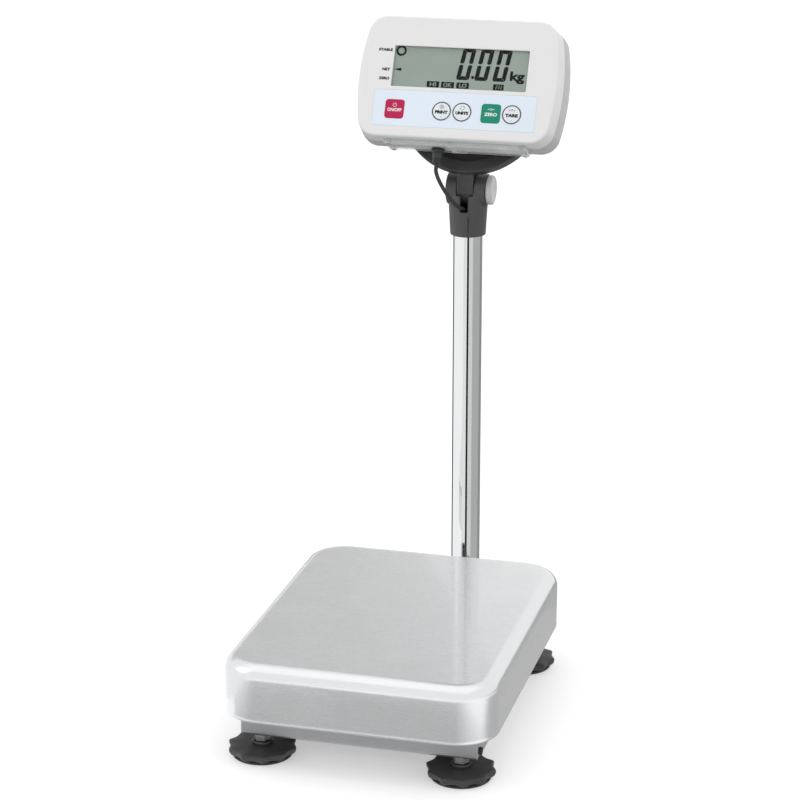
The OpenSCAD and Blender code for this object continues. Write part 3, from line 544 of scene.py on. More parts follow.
def weighing_pan():
    """Deep-drawn pan: rolled rim, flat top, skirt with a turned hem."""
    w, l = PAN_HIGH.x - PAN_LOW.x, PAN_HIGH.y - PAN_LOW.y
    corner, roll, sheet = 50 * MM, 17 * MM, 1.5 * MM
    top, low = PAN_HIGH.z, PAN_LOW.z
    outline = rounded_rect(w, l, corner, 14, PAN_X, PAN_Y)
    bend = [math.pi / 2 * i / 14 for i in range(15)]
    outer = [(roll * (1 - math.cos(a)), top - roll + roll * math.sin(a)) for a in bend]
    inner_roll = roll - sheet
    inner = [(sheet + inner_roll * (1 - math.cos(a)), top - roll + inner_roll * math.sin(a))
             for a in bend]
    hem = [(sheet, low + 0.9 * MM), (sheet * 0.8, low + 0.2 * MM), (sheet * 0.5, low),
           (sheet * 0.2, low + 0.2 * MM), (0.0, low + 0.9 * MM), (0.0, low + 2.2 * MM),
           (0.25 * MM, low + 3.0 * MM), (0.25 * MM, low + 6.0 * MM)]
    shape = Shape()
    inside = [(26 * MM, top - sheet), (17.5 * MM, top - sheet)] + inner[::-1]
    skirt = [(sheet, low + 20 * MM)] + hem + [(0.1 * MM, low + 20 * MM), (0.0, low + 36 * MM)]
    flat = [(17.6 * MM, top), (19 * MM, top), (26 * MM, top), (60 * MM, top), (110 * MM, top)]
    shape.stack(outline, inside + skirt + outer + flat)
    shape.object("weighing_pan_drawn", "pan", "stainless_sheet", replaces=("weighing_pan",),
                 sharp=50)


LOBES = 10


def foot(index):
    """A lobed hand wheel, its flanged stud and the thread that goes up into the frame."""
    pad_low, pad_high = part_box(f"foot_pad_{index}")
    wheel_low, wheel_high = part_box(f"foot_wheel_{index}")
    stud_low, stud_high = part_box(f"foot_stud_{index}")
    x, y = (pad_low.x + pad_high.x) / 2, (pad_low.y + pad_high.y) / 2
    place = Matrix.Translation((x, y, 0))
    low, high = wheel_low.z, wheel_high.z
    reach = 41.8 * MM
    # share of the reach, height in millimetres, how deep the hollows between the ridges go in
    profile = [(share, low + up * MM, depth) for share, up, depth in (
        (0.30, 0, 0.0), (0.78, 0, 0.5), (0.87, 0.2, 0.9), (0.93, 1.0, 1.0), (0.965, 2.6, 1.0),
        (0.99, 5.0, 1.0), (1.0, 7.4, 1.0), (0.998, 8.6, 1.0), (0.985, 9.3, 1.0),
        (0.955, 9.8, 0.95), (0.90, 10.0, 0.8), (0.74, 10.3, 0.35), (0.58, 10.5, 0.1),
        (0.42, 10.7, 0.0), (0.345, 10.8, 0.0))]
    profile += [(0.33, high, 0.0), (0.30, high, 0.0), (0.295, high - 0.5 * MM, 0.0)]
    steps = LOBES * 16
    rings = []
    for share, z, depth in profile:
        ring = []
        for i in range(steps):
            a = math.tau * i / steps
            hollow = abs(math.sin(LOBES * a / 2)) ** 1.2
            r = reach * share - 3.9 * MM * depth * hollow
            drop = 0.4 * MM * depth * hollow if z > low + 9 * MM else 0.0
            ring.append((r * math.cos(a), r * math.sin(a), z - drop))
        rings.append(ring)
    shape = Shape()
    shape.rings(rings)
    shape.object(f"foot_wheel_{index}_lobed", f"wheel_{index}", "foot_plastic",
                 replaces=(f"foot_wheel_{index}",), place=place)
    flange_z, flange_top, flange_r = high, 18.4 * MM, 12 * MM
    core, thread, pitch = 4.55 * MM, 5.0 * MM, 1.5 * MM
    shape = Shape()
    shape.lathe([(4.0 * MM, flange_z - 0.4 * MM), (flange_r - 0.5 * MM, flange_z - 0.4 * MM),
                 (flange_r, flange_z + 0.4 * MM), (flange_r, flange_top - 1.3 * MM),
                 (flange_r - 0.4 * MM, flange_top - 0.7 * MM),
                 (flange_r - 1.4 * MM, flange_top - 0.3 * MM), (7.4 * MM, flange_top),
                 (6.2 * MM, flange_top), (4.0 * MM, flange_top)], 64)
    levels = int((stud_high.z - flange_top) / (pitch / 4))
    sides = 24
    rod = []
    for k in range(levels + 1):
        z = flange_top - 0.5 * MM + (stud_high.z - flange_top + 0.5 * MM) * k / levels
        ring = []
        for i in range(sides):
            phase = (z / pitch - i / sides) % 1.0
            r = core + (thread - core) * (1 - abs(2 * phase - 1))
            ring.append((r * math.cos(math.tau * i / sides), r * math.sin(math.tau * i / sides), z))
        rod.append(ring)
    shape.rings(rod)
    shape.lathe([(3.2 * MM, stud_low.z), (4.4 * MM, stud_low.z), (4.6 * MM, flange_z - 0.1 * MM),
                 (3.2 * MM, flange_z - 0.1 * MM)], 32)
    shape.object(f"foot_stud_{index}_threaded", f"wheel_{index}", "zinc_steel",
                 replaces=(f"foot_stud_{index}",), paint=SHADED_FOOT_STEEL, place=place, sharp=30)
    shape = Shape()
    pad_r = (pad_high.x - pad_low.x) / 2
    treads = [(0.0006, pad_low.z + 0.9 * MM)]
    for r in (6, 12, 18, 24, 30):
        treads += [(r * MM, pad_low.z + 0.9 * MM), ((r + 0.6) * MM, pad_low.z),
                   ((r + 3.4) * MM, pad_low.z), ((r + 4) * MM, pad_low.z + 0.9 * MM)]
    treads[-1] = (pad_r - 1.2 * MM, pad_low.z)
    shape.lathe(treads + [(pad_r - 0.4 * MM, pad_low.z + 0.3 * MM), (pad_r, pad_low.z + 1.0 * MM),
                          (pad_r, pad_high.z - 0.4 * MM), (pad_r - 0.4 * MM, pad_high.z),
                          (4 * MM, pad_high.z)], 72)
    shape.object(f"foot_pad_{index}_ribbed", f"foot_{index}", "foot_rubber",
                 replaces=(f"foot_pad_{index}",), place=place)


# ---- column and yoke ----
def column():
    """Polished tube with a small chamfer at both ends."""
    wall = 1.5 * MM
    low, high = POLE_LOW.z, POLE_HIGH.z
    r = POLE_R
    place = Matrix.Translation((POLE_X, POLE_Y, 0))
    span = high - low
    outside = [(r, low + 0.4 * MM + (span - 0.8 * MM) * i / 24) for i in range(25)]
    inside = [(r - wall, z) for _, z in reversed(outside)]
    shape = Shape()
    shape.lathe(outside + [(r - 0.4 * MM, high), (r - wall + 0.3 * MM, high)] + inside
                + [(r - wall + 0.3 * MM, low), (r - 0.4 * MM, low)], 128, loop=True)
    shape.object("display_pole_polished", "base", "chrome_tube", replaces=("display_pole",),
                 place=place, sharp=50)


def knob():
    """Moulded clamp knob: rounded rim with fine flutes, and a dished face."""
    low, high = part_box("clamp_knob")
    r = (high.z - low.z) / 2
    t = high.x - low.x
    place = Matrix.Translation((low.x, PIVOT.y, PIVOT.z)) @ Matrix.Rotation(math.pi / 2, 4, "Y")
    profile = [(4.1 * MM, 0.0), (12 * MM, 0.0), (r - 2.4 * MM, 0.0), (r - 1.0 * MM, 0.35 * MM),
               (r - 0.25 * MM, 1.1 * MM), (r, 2.2 * MM), (r, t - 3.0 * MM),
               (r - 0.25 * MM, t - 1.9 * MM), (r - 0.9 * MM, t - 0.9 * MM),
               (r - 2.0 * MM, t - 0.25 * MM), (r - 3.4 * MM, t), (r - 4.4 * MM, t),
               (r - 5.0 * MM, t - 0.25 * MM), (r - 5.4 * MM, t - 0.6 * MM), (8 * MM, t - 0.75 * MM),
               (4.6 * MM, t - 0.75 * MM), (4.1 * MM, t - 0.9 * MM)]
    steps = 144
    rings = []
    for radius, z in profile:
        ring = []
        for i in range(steps):
            a = math.tau * i / steps
            edge = max(0.0, (radius - (r - 1.1 * MM)) / (1.1 * MM))
            flute = 0.22 * MM * edge * (0.5 - 0.5 * math.cos(36 * a))
            q = radius - flute
            ring.append((q * math.cos(a), q * math.sin(a), z))
        rings.append(ring)
    shape = Shape()
    shape.rings(rings)
    shape.object("clamp_knob_moulded", "knob", "knob_plastic", replaces=("clamp_knob",),
                 place=place)


def arm_plate():
    """Slightly raised plate that wraps the knuckle from its front up to the saddle, and a painted
    shadow line.
    """
    def outline(inset):
        return arc(0, 0, 21.15 * MM - inset, 20, 112, 24) + arc(0, 0, 20.2 * MM, 112, 20, 24)

    shape = Shape()
    shape.slab(outline, -10.2 * MM, 10.2 * MM, 0.3 * MM, 3)
    upright = Matrix(((0, 0, -1, 0), (-1, 0, 0, 0), (0, 1, 0, 0), (0, 0, 0, 1)))
    place = Matrix.Translation(PIVOT) @ upright
    shape.object("knuckle_plate", "head", "yoke_plastic", place=place)
    # A thin black strip under the plate's lower end: a painted shadow line below the step.
    shape = Shape()
    shadow_line = arc(0, 0, 20.85 * MM, 17.4, 20.2, 4) + arc(0, 0, 20.3 * MM, 20.2, 17.4, 4)
    shape.prism(shadow_line, -10.2 * MM, 10.2 * MM)
    shape.object("knuckle_shadow_line", "head", "yoke_plastic", paint=INK_BLACK, place=place)


# ---- display head ----
def case_at(depth, steps=14):
    """The casing's outline at a depth: flat top and bottom, bulging sides, round corners."""
    back_half, side_r, top, low = 134.5 * MM, 300 * MM, 66 * MM, 92 * MM
    corner, wide, centre = 24 * MM, -15 * MM, -2.2 * MM
    half = back_half - 6 * MM * max(0.0, 1 - depth / (45 * MM))
    cx, reach = half - side_r, side_r - corner
    up = math.asin((top - corner - wide) / reach)
    down = math.asin((low - corner + wide) / reach)
    tx, lx = cx + reach * math.cos(up), cx + reach * math.cos(down)
    ty, ly = top - corner, corner - low
    u, d = math.degrees(up), math.degrees(down)

    def outline(inset):
        r, q = corner - inset, side_r - inset
        loop = (arc(lx, ly, r, -90, -d, steps) + arc(cx, wide, q, -d, u, steps)[1:-1]
                + arc(tx, ty, r, u, 90, steps) + arc(-tx, ty, r, 90, 180 - u, steps)
                + arc(-cx, wide, q, 180 - u, 180 + d, steps)[1:-1]
                + arc(-lx, ly, r, 180 + d, 270, steps))
        return [(x + centre, y) for x, y in loop]

    return outline


def case_shell(shape, levels):
    """Lofts the casing's outline through levels of (inset, depth)."""
    shape.rings([[(x, y, depth) for x, y in case_at(depth)(inset)] for inset, depth in levels],
                matrix=ON_FACE, cap_start=False, cap_end=False)


FACE_EDGE, BACK_EDGE = 2.8 * MM, 5 * MM
SPLIT, GASKET, DEPTH, WALL = 26 * MM, 1.5 * MM, 57 * MM, 3 * MM
WINDOW = (-0.5 * MM, 0.2 * MM, 174.5 * MM, 53.5 * MM)
PANEL = (-107.5 * MM, 103 * MM, -78.5 * MM, -31.5 * MM)
KEY_ROW = -56.5 * MM
KEYS = (("power", -79.0, "square", "key_magenta"), ("print", -17.8, "round", "key_white"),
        ("units", 8.6, "round", "key_white"), ("zero", 45.7, "square", "key_green"),
        ("tare", 72.5, "round", "key_white"))
KEY_R = 12.3 * MM


def key_outline(kind, x, extra=0.0):
    if kind == "square":
        size = 2 * (KEY_R + extra)
        return rounded_rect(size, size, 4 * MM + extra, 10, x, KEY_ROW)
    return circle(KEY_R + extra, 72, x, KEY_ROW)


def flat_loop(outline, inset, depth):
    return [(x, y, depth) for x, y in outline(inset)]


def front_cover():
    """Off-white cover: a hollow moulding with a window, a pocket for the film and five openings."""
    wx, wt, ww, wh = WINDOW
    window = rounded_rect(ww, wh, 1.6 * MM, 6, wx, wt)
    x0, x1, t0, t1 = PANEL
    pocket = rounded_rect(x1 - x0, t1 - t0, 4.5 * MM, 10, (x0 + x1) / 2, (t0 + t1) / 2)
    openings = [key_outline(kind, s * MM, 0.3 * MM) for _, s, kind, _ in KEYS]
    shape = Shape()
    turn = [math.pi / 2 * i / 12 for i in range(13)]
    fillet = [(FACE_EDGE * (1 - math.cos(a)), FACE_EDGE * (1 - math.sin(a))) for a in turn]
    case_shell(shape, [(WALL, 7 * MM), (WALL, SPLIT), (0.4 * MM, SPLIT), (0.0, SPLIT - 0.4 * MM),
                       (0.0, 14 * MM)] + fillet + [(3.1 * MM, 0.0), (4.0 * MM, 0.0)])
    case_shell(shape, [(WALL, 7 * MM), (3.6 * MM, 4.6 * MM), (5 * MM, WALL)])
    lip = [(-0.9 * MM, 0.0), (-0.5 * MM, 0.0), (-0.2 * MM, 0.1 * MM), (0.0, 0.4 * MM),
           (0.0, WALL)]
    shape.wall(window, lip)
    edge = [(-0.6 * MM, 0.0), (-0.3 * MM, 0.0), (-0.1 * MM, 0.08 * MM), (0.0, 0.25 * MM),
            (0.0, 0.5 * MM)]
    shape.wall(pocket, edge)
    for opening in openings:
        shape.wall(opening, [(0.0, 0.5 * MM), (0.0, WALL)])
    shape.fill([flat_loop(case_at(0.0), 4.0 * MM, 0.0), flat_loop(window, -0.9 * MM, 0.0),
                flat_loop(pocket, -0.6 * MM, 0.0)], ON_FACE)
    shape.fill([flat_loop(pocket, 0.0, 0.5 * MM)]
               + [flat_loop(o, 0.0, 0.5 * MM) for o in openings], ON_FACE)
    shape.fill([flat_loop(case_at(WALL), 5 * MM, WALL), flat_loop(window, 0.0, WALL)]
               + [flat_loop(o, 0.0, WALL) for o in openings], ON_FACE)
    shape.object("front_cover_moulded", "head", "front_plastic", replaces=("front_cover",),
                 place=HEAD, merge=0.000004)


SCREWS = ((-98, 44), (98, 44), (-104, -70), (104, -70))


def rear_cover():
    """Light grey rear shell with screw wells, and the battery bay that the saddle is screwed to."""
    shape = Shape()
    front = SPLIT + GASKET
    turn = [math.pi / 2 * i / 10 for i in range(11)]
    fillet = [(BACK_EDGE * (1 - math.cos(a)), DEPTH - BACK_EDGE * (1 - math.sin(a))) for a in turn]
    case_shell(shape, [(8.4 * MM, DEPTH - WALL), (WALL, DEPTH - 9 * MM), (WALL, front),
                       (0.4 * MM, front), (0.0, front + 0.4 * MM), (0.0, 45 * MM)] + fillet
               + [(5.4 * MM, DEPTH), (6.4 * MM, DEPTH)])
    wells = [circle(4.2 * MM, 32, x, t) for x, t in in_mm(SCREWS)]
    for well in wells:
        shape.wall(well, [(-0.5 * MM, DEPTH), (-0.2 * MM, DEPTH - 0.1 * MM),
                          (0.0, DEPTH - 0.5 * MM), (0.0, DEPTH - 2.6 * MM)])
        shape.fill([flat_loop(well, 0.0, DEPTH - 2.6 * MM)], ON_FACE)
    shape.fill([flat_loop(case_at(DEPTH), 6.4 * MM, DEPTH)]
               + [flat_loop(well, -0.5 * MM, DEPTH) for well in wells], ON_FACE)
    shape.fill([flat_loop(case_at(DEPTH), 8.4 * MM, DEPTH - WALL)], ON_FACE)
    bay = rect_mm(106, 80, 6, 8, 0, -38)
    foot_flare = [(-3.0 * MM, DEPTH - 0.4 * MM), (-1.2 * MM, DEPTH + 0.4 * MM),
                  (-0.3 * MM, DEPTH + 1.6 * MM), (0.0, DEPTH + 3.2 * MM)]
    back = [(0.0, 88 * MM), (0.6 * MM, 90.0 * MM), (2.0 * MM, 90.9 * MM), (3.4 * MM, 91 * MM),
            (5 * MM, 91 * MM)]
    shape.stack(bay, foot_flare + back, matrix=ON_FACE)
    for row in range(5):
        rib = rect_mm(90, 1.6, 0.7, 4, 0, 24 + row * 5)
        shape.slab(rib, DEPTH - 0.6 * MM, DEPTH + 0.7 * MM, 0.4 * MM, 3, ON_FACE)
    shape.object("rear_cover_moulded", "head", "rear_plastic", replaces=("rear_cover",),
                 place=HEAD, merge=0.000004)


def keypad():
    """Pale blue film with openings round the keys, and the keys themselves with their legends."""
    x0, x1, t0, t1 = PANEL
    film = rounded_rect(x1 - x0 - 0.3 * MM, t1 - t0 - 0.3 * MM, 4.3 * MM, 10, (x0 + x1) / 2,
                        (t0 + t1) / 2)
    openings = [key_outline(kind, s * MM, 0.25 * MM) for _, s, kind, _ in KEYS]
    shape = Shape()
    shape.wall(film, in_mm([(0.2, 0.49), (0.0, 0.49), (0.0, 0.10), (0.08, 0.02), (0.2, 0.0),
                            (0.5, 0.0)]))
    for opening in openings:
        shape.wall(opening, [(0.0, 0.49 * MM), (0.0, 0.0)])
    shape.fill([flat_loop(film, 0.5 * MM, 0.0)] + [flat_loop(o, 0.0, 0.0) for o in openings],
               ON_FACE)
    shape.fill([flat_loop(film, 0.2 * MM, 0.49 * MM)]
               + [flat_loop(o, 0.0, 0.49 * MM) for o in openings], ON_FACE)
    shape.object("keypad_film", "head", "overlay_film", replaces=("keypad_overlay",), place=HEAD,
                 merge=0.000004)
    for name, s, kind, slot in KEYS:
        key(name, s * MM, kind, slot)


KEY_TOP = -0.4 * MM
PRINT_T = 0.05 * MM


def mark(name, body, slot, paint, build, depth=KEY_TOP):
    """Printed marks on the face at a depth, drawn by build(shape, z0, z1)."""
    shape = Shape()
    build(shape, depth - PRINT_T, depth + PRINT_T)
    shape.object(name, body, slot, paint=paint, place=HEAD, matrix=ON_FACE, merge=0.0000005,
                 sharp=30)


def lettering(name, words, x0, x1, low, high, body, slot, paint, depth, weight=0.0):
    mesh = text_shape(words, x0, x1, low, high, 2 * PRINT_T, weight)
    mesh.transform(Matrix.Translation((0, 0, depth)))
    mesh.transform(ON_FACE)
    mesh.flip_normals()
    piece(name, mesh, body, slot, (), paint, 30, HEAD)


def bar(shape, x0, t0, x1, t1, width, z0, z1):
    """A straight printed stroke between two points."""
    a, b = Vector((x0, t0)), Vector((x1, t1))
    side = Vector((-(b - a).y, (b - a).x)).normalized() * width / 2
    shape.prism([a + side, b + side, b - side, a - side], z0, z1)


def ring_mark(shape, x, t, outer, inner, z0, z1, start=0.0, end=360.0, steps=48):
    """A printed ring or part of one."""
    full = end - start >= 360
    count = steps + (0 if full else 1)
    angles = [math.radians(start + (end - start) * i / steps) for i in range(count)]
    loops = []
    for r, z in ((outer, z0), (outer, z1), (inner, z1), (inner, z0)):
        loops.append([(x + r * math.cos(a), t + r * math.sin(a), z) for a in angles])
    if full:
        shape.rings(loops, loop=True)
    else:
        shape.rings([[loop[i] for loop in loops] for i in range(len(angles))])


def arrow(shape, x, t, size, facing, z0, z1):
    """A small printed triangle that points along x."""
    shape.prism([(x + facing * size, t), (x, t + size * 0.8), (x, t - size * 0.8)], z0, z1)


def key_icon(name, x, shape, z0, z1):
    """The small sign above each key's word."""
    t = KEY_ROW + 5.4 * MM
    if name == "power":
        ring_mark(shape, x, t, 2.6 * MM, 2.1 * MM, z0, z1, 125, 415)
        bar(shape, x, t + 0.4 * MM, x, t + 3.0 * MM, 0.5 * MM, z0, z1)
    elif name == "print":
        ring_mark(shape, x, t, 2.8 * MM, 2.4 * MM, z0, z1)
        for step in (-0.9, 0.3, 1.3):
            bar(shape, x - 1.5 * MM, t + step * MM, x + 1.5 * MM, t + step * MM, 0.4 * MM, z0, z1)
    elif name == "units":
        ring_mark(shape, x, t, 2.8 * MM, 2.4 * MM, z0, z1, 20, 160)
        ring_mark(shape, x, t, 2.8 * MM, 2.4 * MM, z0, z1, 200, 340)
        arrow(shape, x + 2.4 * MM, t + 0.6 * MM, 1.1 * MM, 1, z0, z1)
        arrow(shape, x - 2.4 * MM, t - 0.6 * MM, 1.1 * MM, -1, z0, z1)
    else:
        for side in (-1, 1):
            bar(shape, x + side * 4.4 * MM, t, x + side * 2.9 * MM, t, 0.5 * MM, z0, z1)
            arrow(shape, x + side * 3.0 * MM, t, 1.1 * MM, -side, z0, z1)
        if name == "zero":
            ring_mark(shape, x, t, 1.4 * MM, 0.9 * MM, z0, z1)
        else:
            bar(shape, x - 1.3 * MM, t + 1.4 * MM, x + 1.3 * MM, t + 1.4 * MM, 0.5 * MM, z0, z1)
            bar(shape, x, t + 1.4 * MM, x, t - 1.6 * MM, 0.5 * MM, z0, z1)


def key(name, x, kind, slot):
    """One key: its cap with a soft edge, a printed rim on the round ones, an icon and its word."""
    outline = key_outline(kind, x)
    shape = Shape()
    shape.slab(outline, KEY_TOP, 3.3 * MM, 0.35 * MM, 4, ON_FACE)
    base = rounded_rect(2 * KEY_R + 0.6 * MM, 2 * KEY_R + 3 * MM, 2 * MM, 6, x, KEY_ROW)
    shape.slab(base, 3.3 * MM, 4.5 * MM, 0.2 * MM, 3, ON_FACE)
    shape.slab(circle(2 * MM, 24, x, KEY_ROW), 4.4 * MM, 7.3 * MM, 0.3 * MM, 3, ON_FACE)
    shape.object(f"key_{name}_cap", f"key_{name}", slot, replaces=(f"key_{name}",), place=HEAD)
    light = kind == "square"
    paint = INK_WHITE if light else INK_BLACK
    body = f"key_{name}"
    mark(f"key_{name}_icon", body, slot, paint,
         lambda s, z0, z1: key_icon(name, x, s, z0, z1))
    words = {"power": "ON/OFF", "print": "PRINT", "units": "UNITS", "zero": "ZERO",
             "tare": "TARE"}[name]
    half = (9.2 if name == "power" else 8.2) * MM
    lettering(f"key_{name}_word", words, x - half, x + half, KEY_ROW - 3.4 * MM, KEY_ROW + 0.9 * MM,
              body, slot, paint, KEY_TOP, 0.03 if light else 0.07)
    if not light:
        mark(f"key_{name}_rim", body, slot, INK_BLACK,
             lambda s, z0, z1: ring_mark(s, x, KEY_ROW, KEY_R - 0.3 * MM, KEY_R - 1.5 * MM, z0, z1,
                                         steps=96))
        mark(f"key_{name}_tick", body, slot, paint,
             lambda s, z0, z1: bar(s, x - 0.9 * MM, KEY_ROW - 7.6 * MM, x + 0.9 * MM,
                                   KEY_ROW - 7.6 * MM, 0.4 * MM, z0, z1))


# ---- display ----
LCD_TOP = 3.7 * MM
SLANT = math.tan(math.radians(8))


def segment_outlines(x, t, w, h, s, k):
    """The six lit segments of a nought, uprights s wide and bars k high, as lists of points.

    The gap beside a joint is g, a corner's cut c, and half the gap at the middle m.
    """
    g, c, m = 0.07 * MM, 1.8 * MM, 0.55 * MM
    half = h / 2
    top = [(c, h), (w - c, h), (w - c / 2 - g, h - c / 2 + g), (w - s - g, h - k + g),
           (s + g, h - k + g), (c / 2 + g, h - c / 2 + g)]
    left = [(0, h - c), (c / 2 - g, h - c / 2 - g), (s, h - k - 2 * g), (s, half + m + s * 0.28),
            (s * 0.55, half + m), (0, half + m + s * 0.2)]
    right = [(w - x0, y0) for x0, y0 in left]
    upper = [top, left, right]
    lower = [[(x0, h - y0) for x0, y0 in part] for part in upper]
    return [[(x + px + SLANT * py, t + py) for px, py in part] for part in upper + lower]


def lcd():
    """The display module: a framed glass with its lit marks in dark film just above it."""
    wx, wt, ww, wh = WINDOW
    low, high = LCD_TOP, LCD_TOP + 5 * MM
    shape = Shape()
    shape.slab(rounded_rect(ww + 5 * MM, wh + 4 * MM, 1.2 * MM, 4, wx, wt), low, high, 0.4 * MM, 3,
               ON_FACE)
    shape.object("lcd_module_glass", "head", "lcd_glass", replaces=("lcd_module",), place=HEAD)

    def digits(s, z0, z1):
        for x in (-5.2, 18.3, 41.7):
            for part in segment_outlines(x * MM, -13.6 * MM, 16.8 * MM, 41.2 * MM, 5.4 * MM,
                                         5.0 * MM):
                s.prism(part, z0, z1)
        s.prism(rect_mm(3.8, 3.8, 1.2, 5, 16.2, -9.6)(0), z0, z1)
        ring_mark(s, -79.9 * MM, 21.0 * MM, 6.9 * MM, 4.1 * MM, z0, z1, steps=72)
        s.prism(in_mm([(-87.0, -3.5), (-77.3, -1.2), (-77.3, -5.8)]), z0, z1)

    mark("lcd_digits", "head", "lcd_glass", INK_BLACK, digits, LCD_TOP - PRINT_T)

    def boxes(s, z0, z1):
        for x0, x1 in ((-41.9, -26.0), (-23.4, -6.6), (-3.6, 12.7), (43.8, 57.6)):
            s.prism(rect_mm(x1 - x0, 7.8, 0.8, 4, (x0 + x1) / 2, -21.0)(0), z0, z1)

    mark("lcd_boxes", "head", "lcd_glass", INK_BLACK, boxes, LCD_TOP - PRINT_T)
    lettering("lcd_unit", "kg", 64.0 * MM, 82.8 * MM, -15.6 * MM, 0.6 * MM, "head", "lcd_glass",
              INK_BLACK, LCD_TOP - PRINT_T, 0.042)
    for name, words, x0, x1 in (("high", "HI", -38.2, -29.9), ("good", "OK", -20.6, -9.4),
                                ("low", "LO", 0.0, 9.8)):
        lettering(f"lcd_{name}", words, x0 * MM, x1 * MM, -23.7 * MM, -18.3 * MM, "head",
                  "lcd_glass", INK_PALE, LCD_TOP - 2.6 * PRINT_T, 0.03)

    def level_bars(s, z0, z1):
        for x in (48.1, 51.3, 54.5):
            bar(s, (x - 0.9) * MM, -23.5 * MM, (x + 0.7) * MM, -18.5 * MM, 0.9 * MM, z0, z1)

    mark("lcd_level_bars", "head", "lcd_glass", INK_PALE, level_bars, LCD_TOP - 2.6 * PRINT_T)
    for name, words, x0, x1, t in (("stable", "STABLE", -108.6, -90.4, 18.7),
                                   ("net", "NET", -101.2, -90.9, -7.0),
                                   ("zero", "ZERO", -104.6, -90.4, -18.9)):
        lettering(f"label_{name}", words, x0 * MM, x1 * MM, t * MM, (t + 3.8) * MM, "head",
                  "front_plastic", INK_BLACK, 0.0, 0.06)


def clear_cover():
    """Clear tray under the casing: plate, raised front bar, side ribs, bosses and latch."""
    top = -92.3 * MM
    shape = Shape()

    def block(w, h, r, steps, cx, cy, below, above, edge):
        """A rounded block whose two faces lie this far under the tray's top, all in millimetres."""
        shape.slab(rect_mm(w, h, r, steps, cx, cy), top - below * MM, top - above * MM,
                   edge * MM, 3)

    block(184, 38, 3, 6, 0, 31, 2, 0, 0.5)
    block(184, 2.6, 1.0, 4, 0, 13.3, 6.0, 0.2, 0.7)
    block(170, 1.4, 0.6, 4, 0, 19.5, 3.6, 1.2, 0.4)
    block(180, 1.6, 0.7, 4, 0, 48.6, 4.2, 1.2, 0.5)
    boss = [(r * MM, top - d * MM) for r, d in (
        (1.4, 1.2), (4.6, 1.2), (4.5, 4.6), (4.0, 5.2), (2.9, 5.2), (2.7, 4.0), (1.4, 4.0))]
    for side in (-1, 1):
        block(1.6, 34, 0.7, 4, side * 90.8, 31, 4.4, 1.2, 0.5)
        for depth in (17, 45):
            shape.lathe(boss, 32, Matrix.Translation((side * 86 * MM, depth * MM, 0)))
    block(7, 2.2, 0.9, 4, -5.5, 11.8, 7, 0.2, 0.6)
    block(7, 30, 1.2, 4, -5.5, 28, 4.6, 1.4, 0.6)
    block(20, 3.0, 1.2, 4, 2, 42, 6.4, 1.4, 0.9)
    shape.object("clear_cover_tray", "head", "clear_plastic", replaces=("clear_cover",), place=HEAD)


PLUG = (-27 * MM, 43 * MM)


def plug():
    """Round connector with a ribbed grip, a collar and a ringed strain relief."""
    place = HEAD @ Matrix.Translation((PLUG[0], PLUG[1], 0))
    grip = []
    for i in range(4):
        z = (-106.3 - 1.7 * i) * MM
        grip += [(5.7 * MM, z), (5.7 * MM, z - 0.9 * MM), (5.2 * MM, z - 1.1 * MM),
                 (5.2 * MM, z - 1.5 * MM)]
    head = in_mm([(4.0, -95.4), (8.2, -95.4), (8.7, -95.9), (8.7, -98.4), (8.3, -98.9),
                  (7.0, -99.1), (6.5, -99.5), (6.5, -104.8), (6.1, -105.6)])
    profile = head + grip + in_mm([(4.9, -113.3), (2.6, -113.5)])
    shape = Shape()
    shape.lathe(profile, 56)
    shape.object("cable_plug_moulded", "head", "switch_black", replaces=("cable_plug",),
                 place=place, sharp=45)
    shape = Shape()
    shape.lathe(in_mm([(4.6, -89), (4.6, -81.2), (6.0, -81.2), (6.0, -92), (8.2, -92),
                       (8.7, -92.5), (8.7, -94.6), (8.3, -95.0), (4.6, -95.0)]), 48, loop=True)
    shape.object("cable_socket_flanged", "head", "switch_black", replaces=("cable_socket",),
                 place=place)


def lead():
    """The short free loop of cable, out of the yoke's slot and up into the plug."""
    route = [(0, 257, 547.5), (0, 249, 552.7), (-1.5, 240.4, 555.4), (-4.5, 233, 558.6),
             (-8.5, 225, 564.6), (-13.6, 214, 576.3), (-18.7, 205, 588.9), (-23.8, 199.5, 602.2),
             (-26.6, 199, 611.5), (-27, 200.6, 615.2), (-27, 203.3, 620.7)]
    path = smooth_path([Vector(p) * MM for p in route], 10)
    shape = Shape()
    shape.rings(tube_rings(path, 2.5 * MM, 20))
    obj = shape.object("display_lead_loop", "base", "cable_jacket", replaces=("display_lead",),
                       sharp=60)
    obj.parent = None
    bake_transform(obj)


# ---- finishes of the CAD nodes that keep their shape ----
KEPT = {
    "frame_steel": ("rear_channel", "left_channel", "right_channel", "cross_channel",
                    "pole_bracket", "pan_carrier", "lower_spacer", "upper_spacer"),
    "zinc_steel": ("foot_nuts", "overload_stops", "lower_cell_bolts", "upper_cell_bolts",
                   "bracket_bolts", "yoke_set_screws", "pivot_nut", "pivot_bolt", "saddle_screws",
                   "casing_screws"),
    "cell_aluminium": ("load_cell",),
    "foot_rubber": ("pan_cushions", "frame_grommets"),
    "yoke_plastic": ("vial_holder",),
    "gasket_rubber": ("casing_gasket",),
    "window_plastic": ("display_window", "level_vial"),
    "board_green": ("main_board",),
    "switch_black": ("tact_switches", "battery_pack"),
    "cable_jacket": ("sensor_cable",),
}
for slot, members in KEPT.items():
    for member in members:
        mesh = NODES[member].data
        mesh.materials.clear()
        mesh.materials.append(M[slot])

front_channel()
weighing_pan()
for number in (1, 2, 3, 4):
    foot(number)
column()
grown("pole_yoke", "pole_yoke_moulded", "base", "yoke_plastic", 0.0007, 6, 0.5)
grown("head_saddle", "head_saddle_moulded", "head", "yoke_plastic", 0.0009, 6, 0.5, SHADED_SADDLE)
arm_plate()
knob()
front_cover()
rear_cover()
keypad()
lcd()
clear_cover()
plug()
lead()


